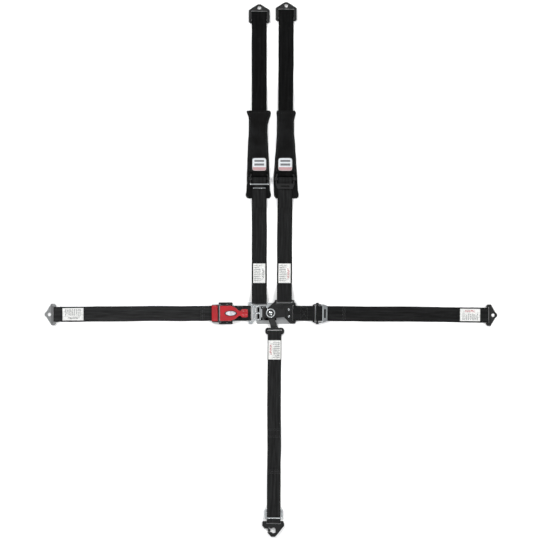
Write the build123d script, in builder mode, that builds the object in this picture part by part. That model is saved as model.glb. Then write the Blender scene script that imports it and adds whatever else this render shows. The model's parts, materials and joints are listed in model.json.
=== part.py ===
from build123d import *
import os
from math import cos, radians, sin, sqrt

# Five-point racing harness laid out flat. The latch stud stands on the origin, X runs along the
# lap belt, Y runs up the shoulder belts and Z is height off the floor. Millimetres.

# ---- webbing ----
belt_width = 50.8  # two-inch webbing
crotch_width = 46.0
web = 1.3  # thickness of one layer
floor_layer = web / 2  # centre of a layer lying on the floor
layer = 1.45  # centre to centre of two layers
wrap = web / 2 + 0.15  # from the face of a bar to the centre of the webbing round it
bend = 1.0  # tightest bend at the centre of a layer
drape = 30.0  # bend where webbing leaves the floor

# ---- latch ----
stud_radius = 8.0
eye_radius = 8.5
base_thickness = 2.5
plate = 2.2  # thickness of the link and the tangs
link_z = 2.8
left_tang_z = 6.7
right_tang_z = 9.2
crotch_tang_z = 11.7
lever_z = 14.5
lever_thickness = 2.5
tang_bar = 5.5  # the shoulder tangs' webbing bars
left_tang_end = 38.0
right_tang_end = 44.5
pivot_x = -24.0
pivot_z = 15.8
pin_radius = 2.5
running = 0.05  # radial clearance of a running fit
ear_inner = 17.5
ear_outer = 20.0

# ---- anchors ----
anchor_hole = 6.0
anchor_plate = 2.6
anchor_bar_z = 2.8
anchor_bar_half = 2.1

# ---- adjusters ----
frame_half = 31.5
slide_bar_radius = 3.5
slide_bar_w = 16.0
slide_bar_z = 5.0
slide_travel = 3.0
adjuster_length = 50.0
adjuster_bar_start = 3.2  # height of an adjuster frame's underside over what it stands on
frame_plate = 2.0
lap_adjuster_start = 143.0  # along the right lap strap
pad_adjuster_start = 472.0  # along a shoulder strap, from the sleeve back towards the latch

# ---- shoulder pads ----
pad_base = 5.0
pad_rise = 5.2  # what stands on the pad base is lifted by this much
pad_start = 391.0
pad_end = 687.0
sleeve_start = 476.0

label_thickness = 0.4
label_width = 42.0
label_z = 2 * web + 0.25  # just clear of two layers of webbing

# ---- shoulder brackets and patches ----
bracket_z = 3.0
bracket_plate = 3.0
bracket_bar_end = 39.0  # the webbing turns round here, below the bolt hole
left_bracket_start = 984.0
right_bracket_start = 991.0
web_slot = 3.4  # slots that the webbing fills
patch_centre = 504.5
patch_length = 43.0
patch_width = 47.0
patch_gap = 0.25
patch_thickness = 0.5


def heading(angle, x=0.0, y=0.0):
    """A floor frame whose x axis runs along a strap."""
    return Plane((x, y, 0), x_dir=(cos(radians(angle)), sin(radians(angle)), 0), z_dir=(0, 0, 1))


def side(frame, across=0.0):
    """The side view of a strap: first coordinate along it, second up."""
    return Plane(frame.origin + frame.y_dir * across, x_dir=frame.x_dir, z_dir=-frame.y_dir)


def shifted(path, distance):
    """The points of an open path moved sideways, with mitred corners."""
    normals = []
    for (x0, y0), (x1, y1) in zip(path, path[1:]):
        length = sqrt((x1 - x0) ** 2 + (y1 - y0) ** 2)
        normals.append(((y0 - y1) / length, (x1 - x0) / length))
    out = []
    for i, (x, y) in enumerate(path):
        ax, ay = normals[max(i - 1, 0)]
        bx, by = normals[min(i, len(normals) - 1)]
        share = distance / (1 + ax * bx + ay * by)
        out.append((x + (ax + bx) * share, y + (ay + by) * share))
    return out


def turns(path):
    """For each inner corner, +1 if the path turns left and -1 if right."""
    signs = []
    for (x0, y0), (x1, y1), (x2, y2) in zip(path, path[1:], path[2:]):
        cross = (x1 - x0) * (y2 - y1) - (y1 - y0) * (x2 - x1)
        signs.append(1 if cross > 0 else -1)
    return signs


def webbing(frame, path, bends, width):
    """A strap: the centre line of its folded side view, thickened and run across its width."""
    signs = turns(path)
    left = [r - s * web / 2 for r, s in zip(bends, signs)]
    right = [r + s * web / 2 for r, s in zip(bends, signs)]
    with BuildPart() as strap:
        with BuildSketch(side(frame)):
            with BuildLine():
                upper = FilletPolyline(*shifted(path, web / 2), radius=left)
                lower = FilletPolyline(*shifted(path, -web / 2), radius=right)
                Line(upper @ 0, lower @ 0)
                Line(upper @ 1, lower @ 1)
            make_face()
        extrude(amount=width / 2, both=True)
    return strap


def label(frame, start, end, z, width):
    """A sewn cloth label lying on the webbing."""
    with BuildPart() as cloth:
        with BuildSketch(frame.offset(z)):
            with Locations(((start + end) / 2, 0)):
                RectangleRounded(end - start, width, 1.5)
        extrude(amount=label_thickness)
    return cloth


def anchor(frame, bar_start, tip, hole, half_width):
    """An anchor plate: a bar between two lobes, a slot and a joggle down to its bolt hole."""
    slot_start = bar_start + 2 * anchor_bar_half
    slot_end = bar_start + 8.5
    low_start = bar_start + 14.3
    lobe_start = bar_start - 1.9
    with BuildPart() as part:
        with BuildSketch(side(frame)):
            with BuildLine():
                Polyline(
                    (lobe_start, anchor_bar_z),
                    (slot_end, anchor_bar_z),
                    (low_start, 0),
                    (tip, 0),
                    (tip, anchor_plate),
                    (low_start + 1, anchor_plate),
                    (slot_end + 1, anchor_bar_z + anchor_plate),
                    (lobe_start, anchor_bar_z + anchor_plate),
                    close=True,
                )
            make_face()
        extrude(amount=half_width, both=True)
        with BuildSketch(frame) as outline:
            with BuildLine():
                Polyline(
                    (lobe_start, half_width - 5),
                    (lobe_start + 5, half_width),
                    (lobe_start + 16, half_width),
                    (tip - 6, 9),
                    (tip, 4),
                    (tip, -4),
                    (tip - 6, -9),
                    (lobe_start + 16, -half_width),
                    (lobe_start + 5, -half_width),
                    (lobe_start, 5 - half_width),
                    close=True,
                )
            make_face()
            fillet(outline.vertices(), radius=2.8)
        extrude(amount=12, mode=Mode.INTERSECT)
        with BuildSketch(frame):
            with Locations(((slot_start + slot_end) / 2, 0)):
                RectangleRounded(slot_end - slot_start, belt_width + 3, 1.5)
            with Locations((lobe_start, 0)):
                Rectangle(2 * (bar_start - lobe_start), belt_width + 3)
            with Locations((hole, 0)):
                Circle(anchor_hole)
        extrude(amount=12, mode=Mode.SUBTRACT)
    return part


def adjuster_frame(frame, base):
    """The tilting frame of a sliding-bar adjuster, with its webbing bar, side cheeks and lift tab."""
    low = base + adjuster_bar_start
    high = low + frame_plate
    with BuildPart() as part:
        with BuildSketch(side(frame)):
            with BuildLine():
                Polyline(
                    (0, low), (36, low), (adjuster_length, low + 4),
                    (adjuster_length, high + 4), (35.5, high), (0, high),
                    close=True,
                )
            make_face()
        extrude(amount=frame_half, both=True)
        with BuildSketch(frame) as outline:
            with BuildLine():
                Polyline(
                    (0, frame_half - 1), (36, frame_half), (adjuster_length, frame_half - 6),
                    (adjuster_length, 6 - frame_half), (36, -frame_half), (0, 1 - frame_half),
                    close=True,
                )
            make_face()
            fillet(outline.vertices(), radius=3)
        extrude(amount=40, mode=Mode.INTERSECT)
        with BuildSketch(frame):
            with Locations((19.5, 0)):
                Rectangle(27, belt_width + 5)
            with Locations((41.5, 0)):
                RectangleRounded(6, 31, 2.5)
        extrude(amount=40, mode=Mode.SUBTRACT)
        for across in (frame_half - 2, -frame_half):
            with BuildSketch(side(frame, across)) as cheek:
                with Locations((17.5, low + 3.5)):
                    RectangleRounded(25, 7, 2.5)
            extrude(amount=-2)
        with BuildSketch(side(frame)):
            with Locations((slide_bar_w + slide_travel / 2, base + slide_bar_z)):
                SlotCenterToCenter(slide_travel + 0.2, 2 * slide_bar_radius + 0.6)
        extrude(amount=frame_half + 1, both=True, mode=Mode.SUBTRACT)
    return part


def adjuster_bar(frame, base):
    """The loose bar that the adjustable strap turns round, headed outside the cheeks."""
    with BuildPart() as part:
        with BuildSketch(side(frame)):
            with Locations((slide_bar_w, base + slide_bar_z)):
                Circle(slide_bar_radius)
        extrude(amount=frame_half + 1, both=True)
        for across in (frame_half + 0.4, -frame_half - 0.4):
            with BuildSketch(side(frame, across)):
                with Locations((slide_bar_w, base + slide_bar_z)):
                    Circle(slide_bar_radius + 1.2)
            extrude(amount=-4 if across > 0 else 4)
    return part


def shoulder_tang(inner_x, outer_x, low, bar_out, neck):
    """A shoulder tang: eye on the stud, a neck and a slot end set off to one side."""
    with BuildPart() as part:
        with BuildSketch(Plane.XY.offset(low)) as outline:
            Circle(15)
            with BuildLine():
                Polyline(*neck, close=True)
            make_face()
            with Locations(((inner_x + outer_x) / 2, bar_out - 7.5)):
                RectangleRounded(abs(outer_x - inner_x), 15, 4)
        extrude(amount=plate)
        with BuildSketch(Plane.XY.offset(low)):
            Circle(eye_radius)
            with Locations(((inner_x + outer_x) / 2, bar_out - tang_bar - 3)):
                RectangleRounded(belt_width + 3, 6, 2)
        extrude(amount=plate, mode=Mode.SUBTRACT)
    return part


def shoulder_bracket(frame, start):
    """A pentagonal bolt plate with two slots; the webbing comes up through the upper one."""
    with BuildPart() as part:
        with BuildSketch(frame.offset(bracket_z)) as outline:
            with BuildLine():
                Polyline(
                    (start, 30), (start + 4, 35.5), (start + 45, 35.5), (start + 65, 4),
                    (start + 65, -4), (start + 45, -35.5), (start + 4, -35.5), (start, -30),
                    close=True,
                )
            make_face()
            fillet(outline.vertices(), radius=3)
        extrude(amount=bracket_plate)
        with BuildSketch(frame.offset(bracket_z)):
            with Locations((start + 11.5, 0)):
                RectangleRounded(8.5, belt_width + 3, 2)
            with Locations((start + bracket_bar_end + web_slot / 2, 0)):
                RectangleRounded(web_slot, belt_width + 3, 1.5)
            with Locations((start + 53, 0)):
                Circle(anchor_hole)
        extrude(amount=bracket_plate, mode=Mode.SUBTRACT)
    return part


def lower_shoulder_strap(frame, tang_low, bar_out):
    """Tang loop, run to the pad, round the adjuster's sliding bar and back to the free end."""
    high = tang_low + plate + wrap
    under = tang_low - wrap
    bar_in = bar_out - tang_bar
    turn = bar_in - wrap - 0.2
    turn_w = pad_adjuster_start - (slide_bar_w - slide_bar_radius - wrap)
    top = pad_rise + slide_bar_z + slide_bar_radius + wrap
    bottom = pad_rise + floor_layer
    path = [
        (172, floor_layer + layer), (96, floor_layer + layer), (bar_out + 24, high), (turn, high),
        (turn, under), (bar_out + 26, under), (94, floor_layer), (342, floor_layer),
        (384, bottom), (turn_w, bottom), (turn_w, top),
        (pad_adjuster_start - 22, top), (pad_adjuster_start - 31.5, bottom + layer),
        (383.8, bottom + layer + 0.1), (358, bottom + layer - 3.1),
    ]
    reach = (top - bottom) / 2
    bends = [8, 8, bend, bend, 8, 8, drape, drape, reach - 0.01, reach - 0.01, 4, 3, drape]
    return webbing(frame, path, bends, belt_width)


def upper_shoulder_strap(frame, tail_end, bracket):
    """Sewn loop on the adjuster, run under the sleeve, then up through the bracket and down over its face."""
    bottom = pad_rise + floor_layer + 0.1
    bar_low = pad_rise + adjuster_bar_start - wrap
    bar_high = pad_rise + adjuster_bar_start + frame_plate + wrap
    turn = pad_adjuster_start - 6 - wrap
    start = bracket
    over = bracket_z + bracket_plate + wrap
    rise = [(740, bottom), (785, floor_layer)]
    back = shifted([(600, bottom)] + rise + [(900, floor_layer)], layer + 0.1)
    path = [
        (530, bottom + layer), (500, bottom + layer), (482, bar_high), (turn, bar_high),
        (turn, bar_low), (480, bar_low), (492, bottom), rise[0], rise[1],
        (start + bracket_bar_end + wrap, floor_layer), (start + bracket_bar_end + wrap, over),
        (start - 3, over), (start - 14, floor_layer + layer + 0.1), (785, floor_layer + layer + 0.1),
        (back[1][0], back[1][1]), (tail_end, bottom + layer + 0.1),
    ]
    bends = [8, 8, bend, bend, 8, 8, drape, drape, bend, bend, bend, 4, drape, drape]
    if tail_end > back[1][0]:
        slope = (bottom - floor_layer) / 45
        path = path[:-2] + [(tail_end, bottom + layer + 0.1 - (tail_end - 740) * slope)]
        bends = bends[:-1]
    return webbing(frame, path, bends, belt_width)


def pad_cushion(frame, half_low, half_mid, half_top):
    """The padded base that lies on the driver's shoulder, flared at both ends."""
    with BuildPart() as part:
        with BuildSketch(frame) as outline:
            with BuildLine():
                Polyline(
                    (pad_start, half_low - 3), (pad_start + 20, half_low), (pad_start + 60, half_low - 2),
                    (sleeve_start + 60, half_mid + 2), (635, half_mid), (pad_end - 14, half_top),
                    (pad_end, half_top), (pad_end, -half_top), (pad_end - 14, -half_top),
                    (635, -half_mid), (sleeve_start + 60, -half_mid - 2), (pad_start + 60, 2 - half_low),
                    (pad_start + 20, -half_low), (pad_start, 3 - half_low),
                    close=True,
                )
            make_face()
            fillet(outline.vertices(), radius=4)
        extrude(amount=pad_base)
        fillet(part.edges().filter_by(Plane.XY), radius=1.4)
    return part


def pad_sleeve(frame, half_mid, half_top):
    """The cover sewn over the cushion: a tunnel for the strap, taller at its mouth."""
    top = pad_rise + 6.6
    tunnel = pad_rise + 3.6
    with BuildPart() as part:
        with BuildSketch(frame.offset(pad_base)) as outline:
            with BuildLine():
                Polyline(
                    (sleeve_start, half_mid + 4.5), (sleeve_start + 60, half_mid + 1),
                    (635, half_mid - 1), (pad_end - 14, half_top - 1.5), (pad_end - 1, half_top - 1.5),
                    (pad_end - 1, 1.5 - half_top), (pad_end - 14, 1.5 - half_top),
                    (635, 1 - half_mid), (sleeve_start + 60, -half_mid - 1), (sleeve_start, -half_mid - 4.5),
                    close=True,
                )
            make_face()
            fillet(outline.vertices(), radius=3)
        extrude(amount=12)
        with BuildSketch(side(frame)):
            with BuildLine():
                Polyline(
                    (sleeve_start - 5, pad_base), (sleeve_start - 5, pad_rise + 8.8),
                    (sleeve_start + 16, pad_rise + 8.8), (sleeve_start + 40, top),
                    (pad_end + 5, top), (pad_end + 5, pad_base),
                    close=True,
                )
            make_face()
        extrude(amount=60, both=True, mode=Mode.INTERSECT)
        with BuildSketch(side(frame)):
            with BuildLine():
                Polyline(
                    (sleeve_start - 5, pad_base), (sleeve_start - 5, pad_rise + 7.2),
                    (sleeve_start + 14, pad_rise + 7.2), (sleeve_start + 36, tunnel),
                    (pad_end + 5, tunnel), (pad_end + 5, pad_base),
                    close=True,
                )
            make_face()
        extrude(amount=belt_width / 2 + 1.2, both=True, mode=Mode.SUBTRACT)
    return part


os.makedirs("parts", exist_ok=True)

lap_left = heading(180.37)
lap_right = heading(-0.57)
shoulder_left = heading(90.0, -38.5)
shoulder_right = heading(89.63, 46.5)
crotch = heading(-90.3, 14.0)

# ================= latch =================

with BuildPart() as base_plate:
    with BuildSketch(Plane.XY) as outline:
        with BuildLine():
            Polyline((-48, -34), (-44, -37), (62, -37), (70, -30), (70, 30), (60, 34), (-40, 34), (-48, 26),
                     close=True)
        make_face()
        fillet(outline.vertices(), radius=4)
    extrude(amount=base_thickness)
    fillet(base_plate.edges().group_by(Axis.Z)[-1], radius=0.6)
base_plate.part.label = "latch_base_plate"
export_step(base_plate.part, "parts/latch_base_plate.step")

# Stud with a flange on the plate and a slotted dome for the lever's spring catch.
with BuildPart() as stud:
    with BuildSketch(Plane.XZ) as profile:
        with BuildLine():
            Polyline((0, base_thickness), (stud_radius, base_thickness), (stud_radius, 17.0))
            ThreePointArc((stud_radius, 17.0), (5.4, 19.4), (0, 20.5))
            Line((0, 20.5), (0, base_thickness))
        make_face()
    revolve(axis=Axis.Z)
    with BuildSketch(Plane.XY.offset(18.2)):
        Rectangle(2, 20)
    extrude(amount=4, mode=Mode.SUBTRACT)
stud.part.label = "latch_stud"
export_step(stud.part, "parts/latch_stud.step")

# Two ears that stand on the base plate and carry the lever's pin.
with BuildPart() as ears:
    for across in (ear_inner, -ear_outer):
        with BuildSketch(Plane.XZ.offset(-across)) as ear:
            with BuildLine():
                Polyline((-31, base_thickness), (-17, base_thickness), (-19, pivot_z), (-29, pivot_z),
                         close=True)
            make_face()
            with Locations((pivot_x, pivot_z)):
                Circle(5)
        extrude(amount=-(ear_outer - ear_inner))
    with BuildSketch(Plane.XZ):
        with Locations((pivot_x, pivot_z)):
            Circle(pin_radius)
    extrude(amount=30, both=True, mode=Mode.SUBTRACT)
ears.part.label = "lever_ears"
export_step(ears.part, "parts/lever_ears.step")

with BuildPart() as lever_pin:
    with BuildSketch(Plane.XZ):
        with Locations((pivot_x, pivot_z)):
            Circle(pin_radius)
    extrude(amount=ear_outer, both=True)
    for across in (ear_outer, -ear_outer - 1.6):
        with BuildSketch(Plane.XZ.offset(across)):
            with Locations((pivot_x, pivot_z)):
                Circle(3.6)
        extrude(amount=1.6)
lever_pin.part.label = "lever_hinge_pin"
export_step(lever_pin.part, "parts/lever_hinge_pin.step")

# The latch lever: a barrel on the pin, a plate with an aperture round the stud and a lifting lip.
with BuildPart() as lever:
    with BuildSketch(Plane.XY.offset(lever_z)) as blade:
        with BuildLine():
            Polyline((pivot_x, 16.9), (14, 16.9), (50, 13), (50, -13), (14, -16.9), (pivot_x, -16.9),
                     close=True)
        make_face()
    extrude(amount=lever_thickness)
    with BuildSketch(Plane.XZ):
        with Locations((pivot_x, pivot_z)):
            Circle(4.6)
    extrude(amount=16.9, both=True)
    with BuildSketch(Plane.XZ):
        with BuildLine():
            Polyline((48, lever_z), (51, lever_z), (58, lever_z + 5), (58, lever_z + 7.5),
                     (55.5, lever_z + 7.5), (48, lever_z + 2.5), close=True)
        make_face()
    extrude(amount=12, both=True)
    with BuildSketch(Plane.XY.offset(lever_z - 5)):
        Circle(11.5)
    extrude(amount=12, mode=Mode.SUBTRACT)
    with BuildSketch(Plane.XZ):
        with Locations((pivot_x, pivot_z)):
            Circle(pin_radius + running)
    extrude(amount=20, both=True, mode=Mode.SUBTRACT)
    # Pressed ring round the aperture.
    with BuildSketch(Plane.XY.offset(lever_z + lever_thickness)):
        Circle(15.5)
        Circle(11.5, mode=Mode.SUBTRACT)
    extrude(amount=1.4)
lever.part.label = "latch_lever"
export_step(lever.part, "parts/latch_lever.step")

# Black end frame riveted to the base plate, with the right lap strap's slot.
with BuildPart() as end_frame:
    with BuildSketch(Plane.XY.offset(base_thickness)) as outline:
        with BuildLine():
            Polyline((20, -11), (44, -12), (66, -36), (82, -36), (86, -32), (86, 32), (82, 36), (76, 36),
                     (70, 32), (20, 32), close=True)
        make_face()
        fillet(outline.vertices(), radius=2.5)
    extrude(amount=base_thickness)
    with BuildSketch(Plane.XY.offset(base_thickness)):
        with Locations((76.3, 0)):
            RectangleRounded(web_slot, belt_width + 4, 1.5)
        with Locations((62, 11.5), (62, -11.5)):
            Circle(2.5)
    extrude(amount=base_thickness, mode=Mode.SUBTRACT)
end_frame.part.label = "latch_end_frame"
export_step(end_frame.part, "parts/latch_end_frame.step")

with BuildPart() as rivets:
    with BuildSketch(Plane.XY.offset(base_thickness)):
        with Locations((62, 11.5), (62, -11.5)):
            Circle(2.5)
    extrude(amount=base_thickness)
    with BuildSketch(Plane.XY.offset(2 * base_thickness)):
        with Locations((62, 11.5), (62, -11.5)):
            Circle(4)
    extrude(amount=1.4)
    fillet(rivets.edges().group_by(Axis.Z)[-1], radius=1.0)
rivets.part.label = "end_frame_rivets"
export_step(rivets.part, "parts/end_frame_rivets.step")

# ================= left lap belt =================

# Chrome link: a boss on the stud, a ladder with two windows and a flared webbing bar.
with BuildPart() as link:
    with BuildSketch(lap_left.offset(link_z)) as outline:
        Circle(14.5)
        with BuildLine():
            Polyline((0, 14.5), (33, 14.5), (38, 25), (56, 25), (62, 37), (75, 37), (75, -37), (62, -37),
                     (56, -25), (38, -25), (33, -14.5), (0, -14.5), close=True)
        make_face()
        fillet(outline.vertices().filter_by(lambda v: (v.X**2 + v.Y**2) > 30**2), radius=2.5)
    extrude(amount=plate)
    with BuildSketch(lap_left.offset(link_z)):
        Circle(14.5)
    extrude(amount=3.6)
    with BuildSketch(lap_left.offset(link_z)):
        Circle(eye_radius)
        with Locations((64.2, 0)):
            RectangleRounded(7.2, belt_width + 4, 2)
        with Locations((45, 11.5), (45, -11.5)):
            RectangleRounded(14, 17, 2)
        with Locations((24, 0)):
            RectangleRounded(7, 18, 2)
    extrude(amount=4, mode=Mode.SUBTRACT)
    with BuildSketch(lap_left.offset(link_z + plate)):
        with Locations((45, 0)):
            Rectangle(26, 4)
        with Locations((54.5, 0), (34.5, 0)):
            Rectangle(3, 44)
    extrude(amount=1.0)
link.part.label = "lap_link"
export_step(link.part, "parts/lap_link.step")

fixed_bar_start = 130.0
fixed_bar_low = 2.8
inner_turn = 67.8 - wrap
outer_turn = fixed_bar_start + 5 + wrap
upper_strand = fixed_bar_low + plate + wrap
lower_strand = fixed_bar_low - wrap
short_path = [
    (99, lower_strand), (inner_turn, lower_strand), (inner_turn, upper_strand), (86, upper_strand),
    (92, lower_strand + layer), (112, lower_strand + layer), (118, upper_strand), (outer_turn, upper_strand),
    (outer_turn, lower_strand), (99.4, lower_strand),
]
short_bends = [bend, bend, 8, 8, 8, 8, bend, bend]
lap_short_left = webbing(lap_left, short_path, short_bends, belt_width)
lap_short_left.part.label = "left_lap_short_strap"
export_step(lap_short_left.part, "parts/left_lap_short_strap.step")

turn_bar = 147.5
turn_bar_radius = 3.2
turn_bar_z = floor_layer + wrap + turn_bar_radius
turn_top = turn_bar_z + turn_bar_radius + wrap
turn_in = turn_bar - turn_bar_radius - wrap
anchor_centre = 733.0  # middle of the left plate's bar
right_anchor_shift = 3.0
anchor_bar_mid = anchor_bar_z + anchor_plate / 2
anchor_wrap = anchor_bar_mid - floor_layer
anchor_top = anchor_bar_mid + anchor_wrap


def anchor_loop(start):
    """The webbing round an anchor plate's bar, then back along the strap to its sewn end."""
    turn = anchor_centre + anchor_wrap
    return [
        (turn, floor_layer), (turn, anchor_top), (anchor_centre - 6, anchor_top),
        (anchor_centre - 16, floor_layer + layer), (start, floor_layer + layer),
    ]


left_long_path = [
    (240, floor_layer + layer), (205, floor_layer + layer), (158, turn_top), (turn_in, turn_top),
    (turn_in, floor_layer),
] + anchor_loop(630)
turn_bend = turn_bar_radius + wrap - 0.01
loop_bend = anchor_wrap - 0.01
left_long_bends = [drape, drape, turn_bend, turn_bend, loop_bend, loop_bend, 6, 6]
lap_long_left = webbing(lap_left, left_long_path, left_long_bends, belt_width)
lap_long_left.part.label = "left_lap_strap"
export_step(lap_long_left.part, "parts/left_lap_strap.step")

left_anchor = anchor(lap_left, anchor_centre - anchor_bar_half, 768, 752, 36.5)
left_anchor.part.label = "left_lap_anchor_plate"
export_step(left_anchor.part, "parts/left_lap_anchor_plate.step")

left_label = label(lap_left, 636, 707, label_z, label_width)
left_label.part.label = "left_lap_label"
export_step(left_label.part, "parts/left_lap_label.step")

# Cam adjuster: two walls joined by the fixed bar and the rear bridge, with feet outside.
wall_in = 27.4
wall_out = 29.6
foot_out = 36.9
cam_x = 172.0
cam_z = 14.0
cam_pin = 2.5
with BuildPart() as cam_frame:
    for across in (wall_in, -wall_out):
        with BuildSketch(side(lap_left, across)) as wall:
            with BuildLine():
                Polyline((129, 0.5), (199, 0.5), (199, 9), (180, 18.5), (166, 18.5), (129, 8), close=True)
            make_face()
            fillet(wall.vertices(), radius=1.5)
        extrude(amount=-(wall_out - wall_in))
    with BuildSketch(lap_left.offset(0.5)):
        with Locations((152.5, (wall_out + foot_out) / 2 - 0.5), (152.5, 0.5 - (wall_out + foot_out) / 2)):
            RectangleRounded(47, foot_out - wall_out + 1, 3)
    extrude(amount=2.2)
    with BuildSketch(lap_left.offset(fixed_bar_low)):
        with Locations((fixed_bar_start + 2.5, 0)):
            Rectangle(5, 2 * wall_in + 1)
    extrude(amount=plate)
    with BuildSketch(lap_left.offset(7.0)):
        with Locations((191, 0)):
            Rectangle(14, 2 * wall_in + 1)
    extrude(amount=1.8)
    with BuildSketch(side(lap_left)):
        with Locations((cam_x, cam_z)):
            Circle(cam_pin)
        with Locations((turn_bar, turn_bar_z)):
            Circle(turn_bar_radius)
    extrude(amount=wall_out + 1, both=True, mode=Mode.SUBTRACT)
    # Room in the feet for the turn bar's heads.
    for across, way in ((wall_out, -1), (-wall_out, 1)):
        with BuildSketch(side(lap_left, across)):
            with Locations((turn_bar, turn_bar_z)):
                Circle(4.2)
        extrude(amount=way * 1.9, mode=Mode.SUBTRACT)
cam_frame.part.label = "cam_adjuster_frame"
export_step(cam_frame.part, "parts/cam_adjuster_frame.step")


def headed_pin(frame, along, up, radius, half_length, head_radius, head):
    """A pin across a strap with a flat head at each end."""
    with BuildPart() as part:
        with BuildSketch(side(frame)):
            with Locations((along, up)):
                Circle(radius)
        extrude(amount=half_length, both=True)
        for across, way in ((half_length, -1), (-half_length, 1)):
            with BuildSketch(side(frame, across)):
                with Locations((along, up)):
                    Circle(head_radius)
            extrude(amount=way * head)
    return part


turn_pin = headed_pin(lap_left, turn_bar, turn_bar_z, turn_bar_radius, wall_out, 3.8, 1.5)
turn_pin.part.label = "cam_adjuster_turn_bar"
export_step(turn_pin.part, "parts/cam_adjuster_turn_bar.step")

cam_axle = headed_pin(lap_left, cam_x, cam_z, cam_pin, wall_out, 4.0, 1.5)
cam_axle.part.label = "cam_lever_pin"
export_step(cam_axle.part, "parts/cam_lever_pin.step")

# Steel cam on the pin; its nose stops just above the webbing.
cam_half = 26.8
with BuildPart() as cam:
    with BuildSketch(side(lap_left)) as nose:
        with Locations((cam_x, cam_z)):
            Circle(4.6)
        with BuildLine():
            Polyline((cam_x - 4.5, cam_z + 0.5), (cam_x - 9, cam_z - 2.2), (cam_x - 6, cam_z - 4.4),
                     (cam_x + 2, cam_z - 4.4), close=True)
        make_face()
        with Locations((cam_x, cam_z)):
            Circle(cam_pin + running, mode=Mode.SUBTRACT)
    extrude(amount=cam_half, both=True)
    # Steel tongue that the grip is moulded over.
    with BuildSketch(side(lap_left)):
        with BuildLine():
            Polyline((cam_x - 3.3, cam_z + 1.2), (cam_x - 3.3, cam_z + 3.2), (100, cam_z + 3.2),
                     (100, cam_z + 1.2), close=True)
        make_face()
    extrude(amount=6, both=True)
cam.part.label = "cam"
export_step(cam.part, "parts/cam.step")

# Red moulded grip: square shoulders over the cam, a waist and a knob to pull.
with BuildPart() as grip:
    with BuildSketch(lap_left.offset(cam_z - 1)) as outline:
        with BuildLine():
            Polyline((175, 25.5), (134, 25.5), (118, 18), (107, 8.5), (99, 8.5), (99, -8.5), (107, -8.5),
                     (118, -18), (134, -25.5), (175, -25.5), close=True)
        make_face()
        fillet(outline.vertices().filter_by(lambda v: -v.X > 102), radius=4)
        with Locations((88.5, 0)):
            RectangleRounded(23, 28, 5)
    extrude(amount=8)
    with BuildSketch(side(lap_left)):
        with BuildLine():
            Polyline((176, 12), (160, 12), (150, 14.5), (76, 14.5), (76, 17.5), (100, 19.5), (135, 21),
                     (170, 20.2), (176, 17), close=True)
        make_face()
    extrude(amount=40, both=True, mode=Mode.INTERSECT)
    with BuildSketch(side(lap_left)):
        with Locations((cam_x, cam_z)):
            Circle(4.9)
        with BuildLine():
            Polyline((cam_x + 10, cam_z - 9), (cam_x - 12, cam_z - 9), (cam_x - 12, cam_z + 1),
                     (cam_x + 10, cam_z + 1), close=True)
        make_face()
    extrude(amount=40, both=True, mode=Mode.SUBTRACT)
    with BuildSketch(side(lap_left)):
        with BuildLine():
            Polyline((cam_x - 3.3, cam_z + 1.2), (cam_x - 3.3, cam_z + 3.2), (100, cam_z + 3.2),
                     (100, cam_z + 1.2), close=True)
        make_face()
    extrude(amount=6, both=True, mode=Mode.SUBTRACT)
grip.part.label = "cam_lever_grip"
export_step(grip.part, "parts/cam_lever_grip.step")

with BuildPart() as badge:
    with BuildSketch(lap_left.offset(21.2)):
        with Locations((135, 0)):
            Ellipse(21, 9)
    extrude(amount=0.8)
badge.part.label = "cam_lever_badge"
export_step(badge.part, "parts/cam_lever_badge.step")

# Red end cover clipped over the rear bridge.
with BuildPart() as end_cover:
    with BuildSketch(side(lap_left)):
        with BuildLine():
            Polyline((179.5, 8.9), (199, 8.9), (200, 10.4), (194, 13), (182, 17), (179.5, 16), close=True)
        make_face()
    extrude(amount=27.0, both=True)
end_cover.part.label = "cam_adjuster_end_cover"
export_step(end_cover.part, "parts/cam_adjuster_end_cover.step")

# ================= right lap belt =================

bar_low = adjuster_bar_start
right_inner = 77.7 - wrap
right_outer = lap_adjuster_start + 6 + wrap
frame_upper = 2 * base_thickness + wrap
frame_lower = base_thickness - wrap
fixed_upper = bar_low + frame_plate + wrap
fixed_lower = bar_low - wrap
right_short_path = [
    (114, floor_layer + 1), (92, floor_layer + 1), (86, frame_lower), (right_inner, frame_lower),
    (right_inner, frame_upper), (92, frame_upper), (99, floor_layer + 1 + layer),
    (128, floor_layer + 1 + layer), (136, fixed_upper), (right_outer, fixed_upper),
    (right_outer, fixed_lower), (140, fixed_lower), (132, floor_layer + 1), (114.4, floor_layer + 1),
]
right_short_bends = [8, 8, bend, bend, 6, 6, 6, 6, bend, bend, 8, 8]
lap_short_right = webbing(lap_right, right_short_path, right_short_bends, belt_width)
lap_short_right.part.label = "right_lap_short_strap"
export_step(lap_short_right.part, "parts/right_lap_short_strap.step")

lap_adjuster_at = lap_right.origin + lap_right.x_dir * lap_adjuster_start
lap_adjuster = heading(-0.57, lap_adjuster_at.X, lap_adjuster_at.Y)
lap_adjuster_frame = adjuster_frame(lap_adjuster, 0)
lap_adjuster_frame.part.label = "lap_adjuster_frame"
export_step(lap_adjuster_frame.part, "parts/lap_adjuster_frame.step")
lap_adjuster_bar = adjuster_bar(lap_adjuster, 0)
lap_adjuster_bar.part.label = "lap_adjuster_bar"
export_step(lap_adjuster_bar.part, "parts/lap_adjuster_bar.step")

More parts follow.
